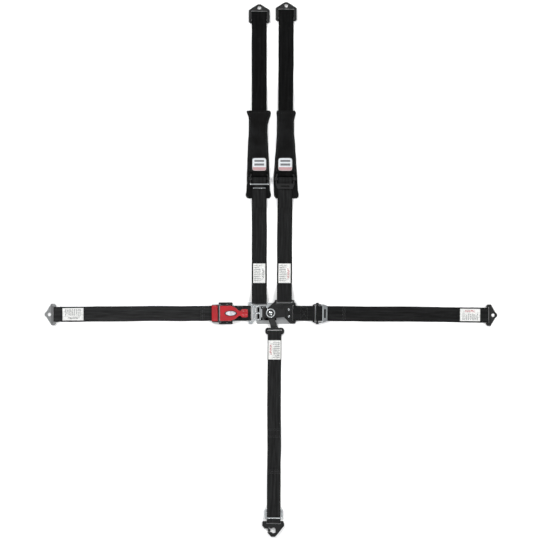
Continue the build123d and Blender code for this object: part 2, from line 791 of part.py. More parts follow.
bar_top = slide_bar_z + slide_bar_radius + wrap
bar_turn = lap_adjuster_start + slide_bar_w - slide_bar_radius - wrap
right_long_path = [
    (258, floor_layer + layer), (lap_adjuster_start + 31.5, floor_layer + layer),
    (lap_adjuster_start + 22, bar_top), (bar_turn, bar_top),
    (bar_turn, floor_layer),
] + [(u + right_anchor_shift, z) for u, z in anchor_loop(632)]
bar_bend = (bar_top - floor_layer) / 2 - 0.01
right_long_bends = [3, 4, bar_bend, bar_bend, loop_bend, loop_bend, 6, 6]
lap_long_right = webbing(lap_right, right_long_path, right_long_bends, belt_width)
lap_long_right.part.label = "right_lap_strap"
export_step(lap_long_right.part, "parts/right_lap_strap.step")

right_anchor = anchor(lap_right, anchor_centre + right_anchor_shift - anchor_bar_half, 770, 756, 36.5)
right_anchor.part.label = "right_lap_anchor_plate"
export_step(right_anchor.part, "parts/right_lap_anchor_plate.step")

right_label = label(lap_right, 644, 712, label_z, label_width)
right_label.part.label = "right_lap_label"
export_step(right_label.part, "parts/right_lap_label.step")

# ================= shoulder belts =================

left_neck = [(-14, 3), (-16, 26), (-8, 34), (8, 26), (14, 3)]
left_tang = shoulder_tang(-70, -7, left_tang_z, left_tang_end, left_neck)
left_tang.part.label = "left_shoulder_tang"
export_step(left_tang.part, "parts/left_shoulder_tang.step")
right_neck = [(-14, 3), (-8, 19), (16, 41), (44, 31), (14, 3)]
right_tang = shoulder_tang(13.5, 80.5, right_tang_z, right_tang_end, right_neck)
right_tang.part.label = "right_shoulder_tang"
export_step(right_tang.part, "parts/right_shoulder_tang.step")

left_lower = lower_shoulder_strap(shoulder_left, left_tang_z, left_tang_end)
left_lower.part.label = "left_shoulder_lower_strap"
export_step(left_lower.part, "parts/left_shoulder_lower_strap.step")
right_lower = lower_shoulder_strap(shoulder_right, right_tang_z, right_tang_end)
right_lower.part.label = "right_shoulder_lower_strap"
export_step(right_lower.part, "parts/right_shoulder_lower_strap.step")

left_upper = upper_shoulder_strap(shoulder_left, 750, left_bracket_start)
left_upper.part.label = "left_shoulder_upper_strap"
export_step(left_upper.part, "parts/left_shoulder_upper_strap.step")
right_upper = upper_shoulder_strap(shoulder_right, 719, right_bracket_start)
right_upper.part.label = "right_shoulder_upper_strap"
export_step(right_upper.part, "parts/right_shoulder_upper_strap.step")

for name, frame in (("left", shoulder_left), ("right", shoulder_right)):
    reverse = Plane(frame.origin + frame.x_dir * pad_adjuster_start, x_dir=-frame.x_dir, z_dir=(0, 0, 1))
    tilt_frame = adjuster_frame(reverse, pad_rise)
    tilt_frame.part.label = name + "_shoulder_adjuster_frame"
    export_step(tilt_frame.part, "parts/" + name + "_shoulder_adjuster_frame.step")
    tilt_bar = adjuster_bar(reverse, pad_rise)
    tilt_bar.part.label = name + "_shoulder_adjuster_bar"
    export_step(tilt_bar.part, "parts/" + name + "_shoulder_adjuster_bar.step")

    start = left_bracket_start if name == "left" else right_bracket_start
    bracket = shoulder_bracket(frame, start)
    bracket.part.label = name + "_shoulder_bracket"
    export_step(bracket.part, "parts/" + name + "_shoulder_bracket.step")

    half_top = 38.5 if name == "left" else 34.0
    cushion = pad_cushion(frame, 42.5, 32.0, half_top)
    cushion.part.label = name + "_pad_cushion"
    export_step(cushion.part, "parts/" + name + "_pad_cushion.step")
    sleeve = pad_sleeve(frame, 31.5, half_top)
    sleeve.part.label = name + "_pad_sleeve"
    export_step(sleeve.part, "parts/" + name + "_pad_sleeve.step")

    tang_label = label(frame, 102, 168, label_z, label_width - 1)
    tang_label.part.label = name + "_shoulder_label"
    export_step(tang_label.part, "parts/" + name + "_shoulder_label.step")

    patch_mouth = pad_rise + 8.8 + patch_gap
    patch_top = pad_rise + 6.6 + patch_gap
    patch_half = patch_length / 2 + 1
    with BuildPart() as emblem:
        with BuildSketch(frame.offset(pad_base)):
            with Locations((patch_centre, 0)):
                RectangleRounded(patch_length, patch_width, 2)
        extrude(amount=12)
        with BuildSketch(side(frame)):
            with BuildLine():
                Polyline(
                    (patch_centre - patch_half, patch_mouth), (sleeve_start + 16, patch_mouth),
                    (sleeve_start + 40, patch_top), (patch_centre + patch_half, patch_top),
                    (patch_centre + patch_half, patch_top + patch_thickness),
                    (sleeve_start + 40, patch_top + patch_thickness),
                    (sleeve_start + 16, patch_mouth + patch_thickness),
                    (patch_centre - patch_half, patch_mouth + patch_thickness),
                    close=True,
                )
            make_face()
        extrude(amount=patch_width, both=True, mode=Mode.INTERSECT)
    emblem.part.label = name + "_pad_patch"
    export_step(emblem.part, "parts/" + name + "_pad_patch.step")

# ================= crotch belt =================

crotch_bar_start = 61.3
with BuildPart() as crotch_tang:
    with BuildSketch(Plane.YZ) as profile:
        with BuildLine():
            Polyline(
                (20, crotch_tang_z), (-20, crotch_tang_z), (-42, 2.8), (-74, 2.8), (-74, 2.8 + plate),
                (-43, 2.8 + plate), (-21, crotch_tang_z + plate), (20, crotch_tang_z + plate),
                close=True,
            )
        make_face()
    extrude(amount=50, both=True)
    with BuildSketch(Plane.XY) as outline:
        Circle(16)
        with BuildLine():
            Polyline((-11, 0), (-8, -20), (2, -52), (26, -52), (14, -20), (11, 0), close=True)
        make_face()
        with Locations((14, -61.5)):
            RectangleRounded(64, 23, 9)
    extrude(amount=20, mode=Mode.INTERSECT)
    with BuildSketch(Plane.XY) as openings:
        Circle(eye_radius)
        with Locations((14, -crotch_bar_start + 2.4)):
            RectangleRounded(crotch_width + 3, 4.8, 2)
    extrude(amount=20, mode=Mode.SUBTRACT)
crotch_tang.part.label = "crotch_tang"
export_step(crotch_tang.part, "parts/crotch_tang.step")

slide_start = 666.0
slide_low = 3.2
slide_plate = 2.0
hook_bar_radius = 2.5
hook_bar = 710.0
hook_bar_z = floor_layer + wrap + hook_bar_radius
hook_turn = hook_bar + hook_bar_radius + wrap
hook_top = hook_bar_z + hook_bar_radius + wrap
crotch_bar_in = crotch_bar_start - wrap
crotch_bar_low = 2.8
crotch_path = [
    (160, floor_layer + layer), (92, floor_layer + layer), (82, crotch_bar_low + plate + wrap),
    (crotch_bar_in, crotch_bar_low + plate + wrap), (crotch_bar_in, crotch_bar_low - wrap),
    (80, crotch_bar_low - wrap), (88, floor_layer),
    (hook_turn, floor_layer), (hook_turn, hook_top), (hook_bar - 3, hook_top),
    (hook_bar - 10.5, floor_layer + layer), (slide_start + 25.5, floor_layer + layer),
    (slide_start + 20.5, slide_low + slide_plate + wrap), (slide_start - 3.5, slide_low + slide_plate + wrap),
    (slide_start - 9.5, floor_layer + layer), (530, floor_layer + layer),
]
hook_bend = hook_bar_radius + wrap - 0.01
crotch_bends = [5, 5, bend, bend, 8, 8, hook_bend, hook_bend, 3, 3, 2, 2, 2, 2]
crotch_strap = webbing(crotch, crotch_path, crotch_bends, crotch_width)
crotch_strap.part.label = "crotch_strap"
export_step(crotch_strap.part, "parts/crotch_strap.step")

crotch_label = label(crotch, 93, 158, label_z, label_width)
crotch_label.part.label = "crotch_label"
export_step(crotch_label.part, "parts/crotch_label.step")

with BuildPart() as slide:
    with BuildSketch(crotch.offset(slide_low)) as outline:
        with Locations((slide_start + 16.5, 0)):
            RectangleRounded(33, 63, 5)
        with Locations((slide_start + 9, 0), (slide_start + 24, 0)):
            RectangleRounded(9.5, crotch_width + 6, 2, mode=Mode.SUBTRACT)
    extrude(amount=slide_plate)
slide.part.label = "crotch_slide"
export_step(slide.part, "parts/crotch_slide.step")

hook_z0 = 1.4
hook_z1 = 6.5
hook_eye = 739.0
hook_end = 760.0
hook_v = -1.5  # the plate stands a little to one side of the strap's middle
gate_u = 729.0
gate_v = -15.5
gate_pin_radius = 1.2
with BuildPart() as hook:
    with BuildSketch(crotch.offset(hook_z0)) as outline:
        with BuildLine():
            Polyline((hook_bar - 3, hook_v - 34), (hook_bar + 4, hook_v - 37), (hook_bar + 13, hook_v - 37),
                     (hook_eye + 11, hook_v - 16), (hook_end, hook_v - 7), (hook_end, hook_v + 7),
                     (hook_eye + 11, hook_v + 16), (hook_bar + 13, hook_v + 37), (hook_bar + 4, hook_v + 37),
                     (hook_bar - 3, hook_v + 34), close=True)
        make_face()
        fillet(outline.vertices(), radius=2.5)
        with Locations((hook_bar + 1.3, 0)):
            Rectangle(11, crotch_width + 4, mode=Mode.SUBTRACT)
        with Locations((hook_eye, 0)):
            RectangleRounded(19, 13, 6, mode=Mode.SUBTRACT)
        # The mouth that the gate shuts.
        with BuildLine():
            Polyline((hook_eye - 7, -2), (hook_eye - 7, -30), (hook_eye + 6, -30), (hook_eye + 6, -2),
                     close=True)
        make_face(mode=Mode.SUBTRACT)
    extrude(amount=hook_z1 - hook_z0)
    with BuildSketch(side(crotch)):
        with Locations((hook_bar, hook_bar_z)):
            Circle(hook_bar_radius)
    extrude(amount=crotch_width / 2 + 6, both=True)
    # Fork for the gate's foot, and the hole for its pin.
    with BuildSketch(crotch.offset(hook_z0 + 1.3)):
        with Locations((gate_u, gate_v)):
            Rectangle(8.5, 14)
    extrude(amount=2.5, mode=Mode.SUBTRACT)
    with BuildSketch(crotch.offset(hook_z0)):
        with Locations((gate_u, gate_v)):
            Circle(gate_pin_radius)
    extrude(amount=6, mode=Mode.SUBTRACT)
hook.part.label = "snap_hook"
export_step(hook.part, "parts/snap_hook.step")

with BuildPart() as gate:
    with BuildSketch(crotch.offset(hook_z0 + 1.6)) as outline:
        with Locations((gate_u, gate_v)):
            Circle(2.8)
        with Locations((gate_u + 7.4, gate_v + 0.3)):
            Rectangle(14.8, 4.2)
        with Locations((gate_u + 9.8, gate_v + 0.2)):
            RectangleRounded(9.6, 7.4, 1.5)
        with Locations((gate_u, gate_v)):
            Circle(gate_pin_radius + running, mode=Mode.SUBTRACT)
    extrude(amount=1.9)
gate.part.label = "snap_hook_gate"
export_step(gate.part, "parts/snap_hook_gate.step")

with BuildPart() as gate_pin:
    with BuildSketch(crotch.offset(hook_z0)):
        with Locations((gate_u, gate_v)):
            Circle(gate_pin_radius)
    extrude(amount=hook_z1 - hook_z0)
gate_pin.part.label = "snap_hook_gate_pin"
export_step(gate_pin.part, "parts/snap_hook_gate_pin.step")
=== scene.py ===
import json
from math import atan2, ceil, cos, exp, hypot, pi, radians, sin, tan

import bmesh
import bpy
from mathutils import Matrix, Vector
from mathutils.bvhtree import BVHTree


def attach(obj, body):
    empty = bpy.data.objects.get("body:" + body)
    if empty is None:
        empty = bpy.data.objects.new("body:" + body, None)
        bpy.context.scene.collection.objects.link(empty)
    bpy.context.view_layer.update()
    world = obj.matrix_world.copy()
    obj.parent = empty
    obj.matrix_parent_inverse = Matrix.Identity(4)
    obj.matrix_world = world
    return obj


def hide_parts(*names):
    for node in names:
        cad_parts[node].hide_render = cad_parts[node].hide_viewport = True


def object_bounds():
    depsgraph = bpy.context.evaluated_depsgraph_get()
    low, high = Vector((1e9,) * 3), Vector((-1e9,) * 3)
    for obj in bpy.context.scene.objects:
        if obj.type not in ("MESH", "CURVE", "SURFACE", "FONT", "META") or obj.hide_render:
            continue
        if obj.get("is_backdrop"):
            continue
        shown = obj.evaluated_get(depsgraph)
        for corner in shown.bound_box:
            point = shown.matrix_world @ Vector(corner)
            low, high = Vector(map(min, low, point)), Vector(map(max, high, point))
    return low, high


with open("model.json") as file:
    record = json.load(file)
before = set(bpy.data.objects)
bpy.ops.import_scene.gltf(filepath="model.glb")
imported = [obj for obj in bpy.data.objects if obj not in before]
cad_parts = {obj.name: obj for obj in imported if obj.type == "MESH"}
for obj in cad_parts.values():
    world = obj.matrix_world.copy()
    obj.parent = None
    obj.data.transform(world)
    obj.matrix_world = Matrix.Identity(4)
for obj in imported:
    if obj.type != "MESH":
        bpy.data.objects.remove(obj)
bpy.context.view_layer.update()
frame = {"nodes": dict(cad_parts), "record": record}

MM = 0.001
nodes = frame["nodes"]
scene = bpy.context.scene


def placed(name, data):
    """A new object in the scene."""
    made = bpy.data.objects.new(name, data)
    scene.collection.objects.link(made)
    return made


# ---------------- camera and light

span, distance, sensor = 1.836, 6.5, 36.0
view_centre = (-0.002, 0.146)
camera = placed("camera", bpy.data.cameras.new("camera"))
camera.data.sensor_width = sensor
camera.data.lens = sensor * distance / span
camera.data.clip_end = 40.0
camera.location = (*view_centre, distance)
scene.camera = camera


def area_light(name, place, aim, width, depth, power):
    """A soft box that faces a point."""
    lamp = bpy.data.lights.new(name, "AREA")
    lamp.shape = "RECTANGLE"
    lamp.size = width
    lamp.size_y = depth
    lamp.energy = power
    box = placed(name, lamp)
    box.location = place
    box.rotation_euler = (Vector(aim) - Vector(place)).to_track_quat("-Z", "Y").to_euler()


lit = (0, 0.1, 0)
area_light("key_light", (-2.6, 2.2, 3.4), lit, 2.4, 1.2, 175)
area_light("fill_light", (2.8, 1.4, 3.0), lit, 2.0, 1.4, 110)
area_light("front_light", (0.6, -4.2, 2.0), lit, 2.6, 1.0, 110)

world = bpy.data.worlds.new("studio")
scene.world = world
world.use_nodes = True
made, links = world.node_tree.nodes, world.node_tree.links
sky, height, ramp = (made.new("ShaderNode" + kind) for kind in ("TexCoord", "SeparateXYZ", "ValToRGB"))
links.new(sky.outputs["Generated"], height.inputs[0])
links.new(height.outputs["Z"], ramp.inputs[0])
links.new(ramp.outputs[0], made["Background"].inputs["Color"])
# Brightness of the studio by height: pale low down, dark at the sides and pale overhead.
bands = [(0.0, 0.90), (0.22, 0.80), (0.38, 0.10), (0.78, 0.09), (0.93, 0.56), (1.0, 0.70)]
ramp.color_ramp.elements.remove(ramp.color_ramp.elements[1])
for at, value in bands:
    band = ramp.color_ramp.elements[0] if at == 0 else ramp.color_ramp.elements.new(at)
    band.position, band.color = at, (value * 0.97, value * 0.99, value, 1)
made["Background"].inputs["Strength"].default_value = 1.0
scene.view_settings.view_transform = "Standard"


# ---------------- materials

class Shader:
    """A short way to write a node tree: every call adds one node and returns its output."""

    def __init__(self, name):
        self.material = bpy.data.materials.new(name)
        self.material.use_nodes = True
        self.tree = self.material.node_tree
        self.surface = self.tree.nodes["Principled BSDF"]

    def put(self, socket, value):
        if isinstance(value, bpy.types.NodeSocket):
            self.tree.links.new(value, socket)
        elif value is not None:
            socket.default_value = value

    def node(self, kind, output=0, settings=None, **inputs):
        made = self.tree.nodes.new(kind)
        for key, value in (settings or {}).items():
            setattr(made, key, value)
        for key, value in inputs.items():
            self.put(made.inputs[key.replace("_", " ")], value)
        return made.outputs[output]

    def math(self, operation, a, b=None):
        made = self.tree.nodes.new("ShaderNodeMath")
        made.operation = operation
        self.put(made.inputs[0], a)
        self.put(made.inputs[1], b)
        return made.outputs[0]

    def times(self, a, b):
        return self.math("MULTIPLY", a, b)

    def plus(self, a, b):
        return self.math("ADD", a, b)

    def ripple(self, value):
        """Even ridges: the sine of a value without its sign."""
        return self.math("ABSOLUTE", self.math("SINE", value))

    def along_strap(self):
        """Where a point lies on its strap, in metres: across it, and along its run."""
        across, along, _ = self.split(self.node("ShaderNodeAttribute", output=1,
                                                settings={"attribute_name": "strap"}))
        return across, along

    def mix(self, share, a, b):
        made = self.tree.nodes.new("ShaderNodeMix")
        made.data_type = "RGBA"
        self.put(made.inputs[0], share)
        self.put(made.inputs[6], a)
        self.put(made.inputs[7], b)
        return made.outputs[2]

    def place(self):
        return self.node("ShaderNodeTexCoord", output=3)

    def noise(self, vector, size, detail=3.0, rough=0.5):
        return self.node("ShaderNodeTexNoise", Vector=vector, Scale=size, Detail=detail, Roughness=rough)

    def between(self, value, low, high, out_low=0.0, out_high=1.0):
        made = self.tree.nodes.new("ShaderNodeMapRange")
        for key, limit in {"From Min": low, "From Max": high, "To Min": out_low, "To Max": out_high}.items():
            made.inputs[key].default_value = limit
        self.put(made.inputs["Value"], value)
        return made.outputs[0]

    def stretch(self, vector, x, y, z):
        return self.node("ShaderNodeMapping", Vector=vector, Scale=(x, y, z))

    def split(self, vector):
        made = self.tree.nodes.new("ShaderNodeSeparateXYZ")
        self.put(made.inputs[0], vector)
        return made.outputs

    def inside(self, value, low, high):
        """1 where a value lies between two limits."""
        middle, half = (low + high) / 2, (high - low) / 2
        return self.math("LESS_THAN", self.math("ABSOLUTE", self.math("SUBTRACT", value, middle)), half)

    def join(self, x, y, z):
        return self.node("ShaderNodeCombineXYZ", X=x, Y=y, Z=z)

    def bump(self, height, distance, strength=1.0, normal=None):
        return self.node("ShaderNodeBump", Height=height, Distance=distance, Strength=strength,
                         Normal=normal)

    def edges(self, radius):
        """Near 1 along the edges of hard parts, with the rounded normal that they are lit by."""
        made = self.tree.nodes.new("ShaderNodeBevel")
        made.samples = 6
        made.inputs["Radius"].default_value = radius
        flat = self.node("ShaderNodeNewGeometry", output=1)
        dot = self.tree.nodes.new("ShaderNodeVectorMath")
        dot.operation = "DOT_PRODUCT"
        self.put(dot.inputs[0], made.outputs[0])
        self.put(dot.inputs[1], flat)
        return self.between(dot.outputs["Value"], 0.99, 0.80), made.outputs[0]

    def finish(self, **sockets):
        for key, value in sockets.items():
            self.put(self.surface.inputs[key.replace("_", " ")], value)
        return self.material


def grey(value, tint=0.0):
    return (value * (1 - tint), value, value * (1 + tint), 1)


def webbing_material(name, painted_brightness, pitch, pick):
    """Ribbed polyester webbing: warp ribs along the strap, crossed by picks that step from rib to rib."""
    low, high = 0.0040 * painted_brightness, 0.0145 * painted_brightness
    m = Shader(name)
    across, along = m.along_strap()
    rib = m.math("DIVIDE", across, pitch)
    step = m.times(m.math("MODULO", m.math("FLOOR", m.plus(rib, 200.0)), 2.0), 0.5)
    ridge = m.ripple(m.times(rib, pi))
    wave = m.plus(m.math("DIVIDE", along, pick), step)
    float_over = m.ripple(m.times(wave, pi))
    height = m.times(m.math("POWER", ridge, 0.6), m.plus(m.times(float_over, 0.75), 0.25))
    place = m.place()
    fibres = m.noise(m.stretch(m.join(across, along, 0.0), 9000, 1200, 1), 1.0, 2.0)
    fold_relief_and_shade = m.noise(place, 14.0, 4.0)
    scuff = m.between(m.noise(place, 90.0, 5.0, 0.7), 0.56, 0.75)
    # Painted shade in the weave: the grooves between ribs and picks are darker, the raised floats lighter.
    shade = m.mix(height, grey(low), grey(high, 0.02))
    # Painted light on the strap's folds: large soft patches are painted lighter.
    shade = m.mix(m.times(m.between(fold_relief_and_shade, 0.35, 0.7), 0.35), shade, grey(high * 1.5, 0.03))
    # Painted shade across the strap: its middle is darker than the bands near its edges.
    side = m.math("ABSOLUTE", across)
    shade = m.mix(m.between(side, 0.010, 0.017, 0.45, 0.0), shade, grey(low))
    # Painted highlights on the strap's folds: long pale streaks along it.
    painted_streaks = m.noise(m.stretch(m.join(across, along, 0.0), 160, 9, 1), 1.0, 4.0, 0.6)
    shade = m.mix(m.between(painted_streaks, 0.42, 0.70, 0.0, 0.75), shade, grey(high * 2.2, 0.02))
    # Painted shade on the rolled outer edges, which are darker still.
    edge = m.between(side, 0.0205, 0.0235)
    shade = m.mix(m.times(edge, 0.8), shade, grey(low * 0.3))
    shade = m.mix(m.times(scuff, 0.10), shade, grey(0.06))
    normal = m.bump(height, 0.00035, 0.8)
    normal = m.bump(fibres, 0.00006, 0.5, normal)
    normal = m.bump(fold_relief_and_shade, 0.0012, 0.25, normal)
    return m.finish(Base_Color=shade, Roughness=m.between(height, 0, 1, 0.86, 0.66), Normal=normal,
                    Sheen_Weight=0.030 * painted_brightness, Sheen_Roughness=0.35, Specular_IOR_Level=0.14 * painted_brightness)


def cloth_material(name, low, high, pitch):
    """Plain woven cordura for the pads, in object space so that it needs no layout."""
    m = Shader(name)
    place = m.place()
    x, y, z = m.split(place)
    lean = m.times(z, 0.7)
    warp, weft = (m.ripple(m.times(m.plus(way, lean), pi / pitch)) for way in (x, y))
    height = m.times(warp, weft)
    fold_relief_and_shade = m.noise(place, 22.0, 5.0, 0.6)
    fuzz = m.noise(place, 2600.0, 2.0)
    lint = m.between(m.noise(place, 420.0, 2.0, 0.8), 0.70, 0.80)
    # Painted shade in the weave: the low parts of the crossings darker, their tops lighter.
    shade = m.mix(height, grey(low), grey(high))
    # Painted light on the pads' folds: large soft patches are painted lighter.
    shade = m.mix(m.times(m.between(fold_relief_and_shade, 0.4, 0.72), 0.7), shade, grey(high * 2.2, 0.04))
    shade = m.mix(m.times(lint, 0.18), shade, grey(0.06))
    normal = m.bump(height, 0.0003, 0.7)
    normal = m.bump(fuzz, 0.0001, 0.5, normal)
    normal = m.bump(fold_relief_and_shade, 0.0025, 0.3, normal)
    return m.finish(Base_Color=shade, Roughness=0.9, Normal=normal, Sheen_Weight=0.025,
                    Sheen_Roughness=0.35, Specular_IOR_Level=0.10)


def metal_material(name, colour, rough, metallic, edge_colour, edge_share, grain, radius=0.0005, coat=0.0,
                   dark=()):
    """Plated or blackened steel: rounded edges, wear on them, fine brushing, smudges and small pits.

    dark lists the boxes (x0, x1, y0, y1), in millimetres, where shade is painted near black."""
    m = Shader(name)
    place = m.place()
    edge, rounded = m.edges(radius)
    smudge = m.noise(place, 55.0, 5.0, 0.65)
    brush = m.noise(m.stretch(place, 260, 3200, 900), 1.0, 3.0, 0.6)
    pits = m.between(m.noise(place, 900.0, 2.0), 0.30, 0.42)
    worn = m.times(edge, m.between(m.noise(place, 330.0, 4.0, 0.7), 0.35, 0.62, 0.25, 1.0))
    darker = (colour[0] * 0.72, colour[1] * 0.72, colour[2] * 0.74, 1)
    shade = m.mix(m.between(smudge, 0.35, 0.7), colour, darker)
    shade = m.mix(m.times(worn, edge_share), shade, edge_colour)
    roughness = m.plus(m.between(smudge, 0.3, 0.75, rough * 0.75, rough * 1.35),
                       m.times(brush, grain))
    normal = m.bump(brush, 0.00003, 0.35, rounded)
    normal = m.bump(pits, 0.00006, 0.35, normal)
    x, y, _ = m.split(place)
    # Painted shade: inside each box the plate is painted near black and matte.
    for x0, x1, y0, y1 in dark:
        painted_dark = m.times(m.inside(x, x0 * MM, x1 * MM), m.inside(y, y0 * MM, y1 * MM))
        shade = m.mix(painted_dark, shade, (0.004, 0.004, 0.0045, 1))
        roughness = m.math("MAXIMUM", roughness, m.times(painted_dark, 0.5))
    return m.finish(Base_Color=shade, Metallic=metallic, Roughness=roughness, Normal=normal,
                    Coat_Weight=coat)


def plastic_material(name, colour, deep, rough):
    """Moulded plastic: fine spark-eroded grain, slight colour change and a painted highlight along the
    edges.
    """
    m = Shader(name)
    place = m.place()
    edge, rounded = m.edges(0.0006)
    grain = m.noise(place, 1900.0, 3.0, 0.6)
    cloud = m.noise(place, 40.0, 4.0)
    painted_edge_highlight = tuple(min(1, c * 1.35 + 0.03) for c in colour[:3]) + (1,)
    shade = m.mix(m.between(cloud, 0.35, 0.7), colour, deep)
    # Painted highlight: the edges are painted lighter, as if they caught the light.
    shade = m.mix(m.times(edge, 0.45), shade, painted_edge_highlight)
    normal = m.bump(grain, 0.00008, 0.5, rounded)
    roughness = m.between(cloud, 0.3, 0.7, rough, rough + 0.15)
    return m.finish(Base_Color=shade, Roughness=roughness, Normal=normal, Coat_Weight=0.15,
                    Coat_Roughness=0.25)


def thread_material(name, colour):
    m = Shader(name)
    place = m.place()
    x, y, _ = m.split(place)
    twist = m.ripple(m.times(m.plus(x, y), 5200.0))
    # Painted shade in the twist: the grooves between the plies are darker.
    shade = m.mix(twist, tuple(c * 0.5 for c in colour[:3]) + (1,), colour)
    return m.finish(Base_Color=shade, Roughness=0.6, Normal=m.bump(twist, 0.0001, 0.7), Sheen_Weight=0.3)


def badge_material(name, x0, y0):
    """A plain oval badge: a pale, cloudy field inside a dark ring, with no mark on it."""
    m = Shader(name)
    x, y, _ = m.split(m.place())
    a = m.math("DIVIDE", m.math("SUBTRACT", x, x0), 0.021)
    b = m.math("DIVIDE", m.math("SUBTRACT", y, y0), 0.009)
    out = m.math("SQRT", m.plus(m.times(a, a), m.times(b, b)))
    cloud = m.noise(m.place(), 120.0, 3.0)
    shade = m.mix(m.between(cloud, 0.38, 0.66), (0.66, 0.65, 0.68, 1), (0.34, 0.33, 0.37, 1))
    shade = m.mix(m.between(out, 0.78, 0.84), shade, (0.020, 0.008, 0.010, 1))
    return m.finish(Base_Color=shade, Roughness=0.32, Normal=m.bump(cloud, 0.0001, 0.3), Coat_Weight=0.3)


def label_material(name, side, heading):
    """White label cloth: broken lines of unreadable dashes under a heading along one long edge."""
    m = Shader(name)
    across, along = m.along_strap()
    across = m.times(across, side)
    weave = m.times(m.ripple(m.times(across, 7000.0)), m.ripple(m.times(along, 7000.0)))
    columns = m.times(m.plus(along, 1.0), 1 / 0.0062)
    row = m.math("FLOOR", m.times(m.plus(across, 1.0), 1 / 0.0021))
    in_column = m.inside(m.math("FRACT", columns), 0.18, 0.72)
    dash = m.noise(m.join(m.times(along, 520.0), m.times(row, 7.31), 0.0), 1.0, 1.0)
    inked = m.times(in_column, m.math("GREATER_THAN", dash, 0.44))
    inked = m.times(inked, m.times(m.inside(across, -0.0175, 0.0045), m.inside(along, -0.027, 0.027)))
    arch = m.math("SUBTRACT", 0.0135, m.times(m.times(along, along), 7.0))
    title = m.math("LESS_THAN", m.math("ABSOLUTE", m.math("SUBTRACT", across, arch)), 0.0034)
    gaps = m.noise(m.join(m.times(along, 420.0), m.times(across, 300.0), 0.0), 1.0, 2.0)
    broken = m.math("GREATER_THAN", gaps, 0.50)
    title = m.times(m.times(title, broken), m.inside(along, -0.019, 0.017))
    soil = m.noise(m.place(), 60.0, 4.0)
    smear = m.noise(m.stretch(m.join(across, along, 0.0), 190, 120, 1), 1.0, 3.0)
    shade = m.mix(m.between(soil, 0.35, 0.75), (0.74, 0.74, 0.725, 1), (0.58, 0.58, 0.565, 1))
    smeared = m.times(m.between(smear, 0.50, 0.62, 0.0, 0.45), m.inside(across, -0.0175, 0.0175))
    shade = m.mix(smeared, shade, (0.26, 0.27, 0.27, 1))
    shade = m.mix(m.times(inked, 0.85), shade, (0.13, 0.14, 0.14, 1))
    shade = m.mix(m.times(title, 0.9), shade, heading)
    return m.finish(Base_Color=shade, Roughness=0.8, Normal=m.bump(weave, 0.0001, 0.5), Sheen_Weight=0.15)


def patch_material(name):
    """An embroidered patch: a white field with two plain grey bars over a dull pink band."""
    m = Shader(name)
    across, along = m.along_strap()
    threads = m.ripple(m.plus(m.times(across, 5200.0), m.times(along, 900.0)))
    band = m.math("LESS_THAN", along, -0.0095)
    bars = m.plus(m.inside(along, 0.0085, 0.0150), m.inside(along, -0.0045, 0.0030))
    bars = m.times(bars, m.inside(across, -0.0165, 0.0165))
    # Painted shade between the stitches: the thread ridges lighter, the gaps darker.
    shade = m.mix(threads, (0.50, 0.52, 0.54, 1), (0.70, 0.73, 0.76, 1))
    shade = m.mix(m.times(bars, 0.85), shade, (0.035, 0.035, 0.04, 1))
    shade = m.mix(m.times(band, 0.9), shade, (0.42, 0.21, 0.22, 1))
    return m.finish(Base_Color=shade, Roughness=0.65, Normal=m.bump(threads, 0.0003, 0.8), Sheen_Weight=0.3)


belt_weave = (0.0019, 0.0032)
# One webbing in several copies: a second argument below 1 darkens a strap's colour, sheen and gloss, as
# painted shade on that strap.
webbing_look = webbing_material("webbing", 1.0, *belt_weave)
right_lap_look = webbing_material("right_lap_webbing", 0.60, *belt_weave)
lower_look = webbing_material("lower_shoulder_webbing", 0.68, *belt_weave)
upper_look = webbing_material("upper_shoulder_webbing", 0.27, *belt_weave)
crotch_look = webbing_material("crotch_webbing", 0.82, 0.0017, 0.0028)
pad_look = cloth_material("pad_cordura", 0.0018, 0.0058, 0.0011)
binding_look = cloth_material("pad_binding", 0.003, 0.009, 0.0007)
bright_plate = ((0.72, 0.745, 0.75, 1), 0.09, 1.0, (0.88, 0.89, 0.90, 1), 0.8, 0.05)
zinc_finish = (0.34, 1.0, (0.70, 0.70, 0.70, 1), 0.7, 0.12)
chrome_look = metal_material("chrome", *bright_plate)
steel_look = metal_material("zinc_steel", (0.33, 0.335, 0.335, 1), *zinc_finish)
# The base plate's finish has painted shade, near black, under the latch link.
base_look = metal_material("base_plate_zinc", (0.46, 0.465, 0.465, 1), *zinc_finish,
                           dark=[(-45, 20, -25, 26)])
# Chrome with painted shade in bands between the left shoulder adjuster's bars.
band_look = metal_material("banded_chrome", *bright_plate,
                           dark=[(-80, 0, 426.5, 434.5), (-80, -60, 400, 426.5), (-17, 0, 400, 426.5)])
black_look = metal_material("black_oxide", (0.0050, 0.0050, 0.0053, 1), 0.36, 0.22, (0.13, 0.13, 0.12, 1),
                            0.6, 0.08, coat=0.04)
red_look = plastic_material("red_plastic", (0.40, 0.0065, 0.013, 1), (0.27, 0.0035, 0.008, 1), 0.28)
badge_look = badge_material("badge_print", -0.1350, -0.0009)
black_thread = thread_material("black_thread", (0.028, 0.028, 0.030, 1))
white_thread = thread_material("white_thread", (0.62, 0.62, 0.62, 1))
red_ink, grey_ink = (0.36, 0.035, 0.05, 1), (0.12, 0.12, 0.12, 1)
label_looks = {
    strap: label_material(strap + "_label_print", side, ink)
    for strap, side, ink in (("left_lap", 1.0, grey_ink), ("right_lap", 1.0, red_ink),
                             ("left_shoulder", -1.0, grey_ink), ("right_shoulder", -1.0, red_ink),
                             ("crotch", -1.0, red_ink))
}
patch_look = patch_material("patch_embroidery")

looks = {"chrome": chrome_look, "steel": steel_look, "black_steel": black_look, "red_grip": red_look,
         "badge": badge_look}
for part in frame["record"]["subparts"]:
    if part["material_slot"] in looks:
        mesh = nodes[part["node"]].data
        mesh.materials.clear()
        mesh.materials.append(looks[part["material_slot"]])
        mesh.set_sharp_from_angle(angle=radians(28))


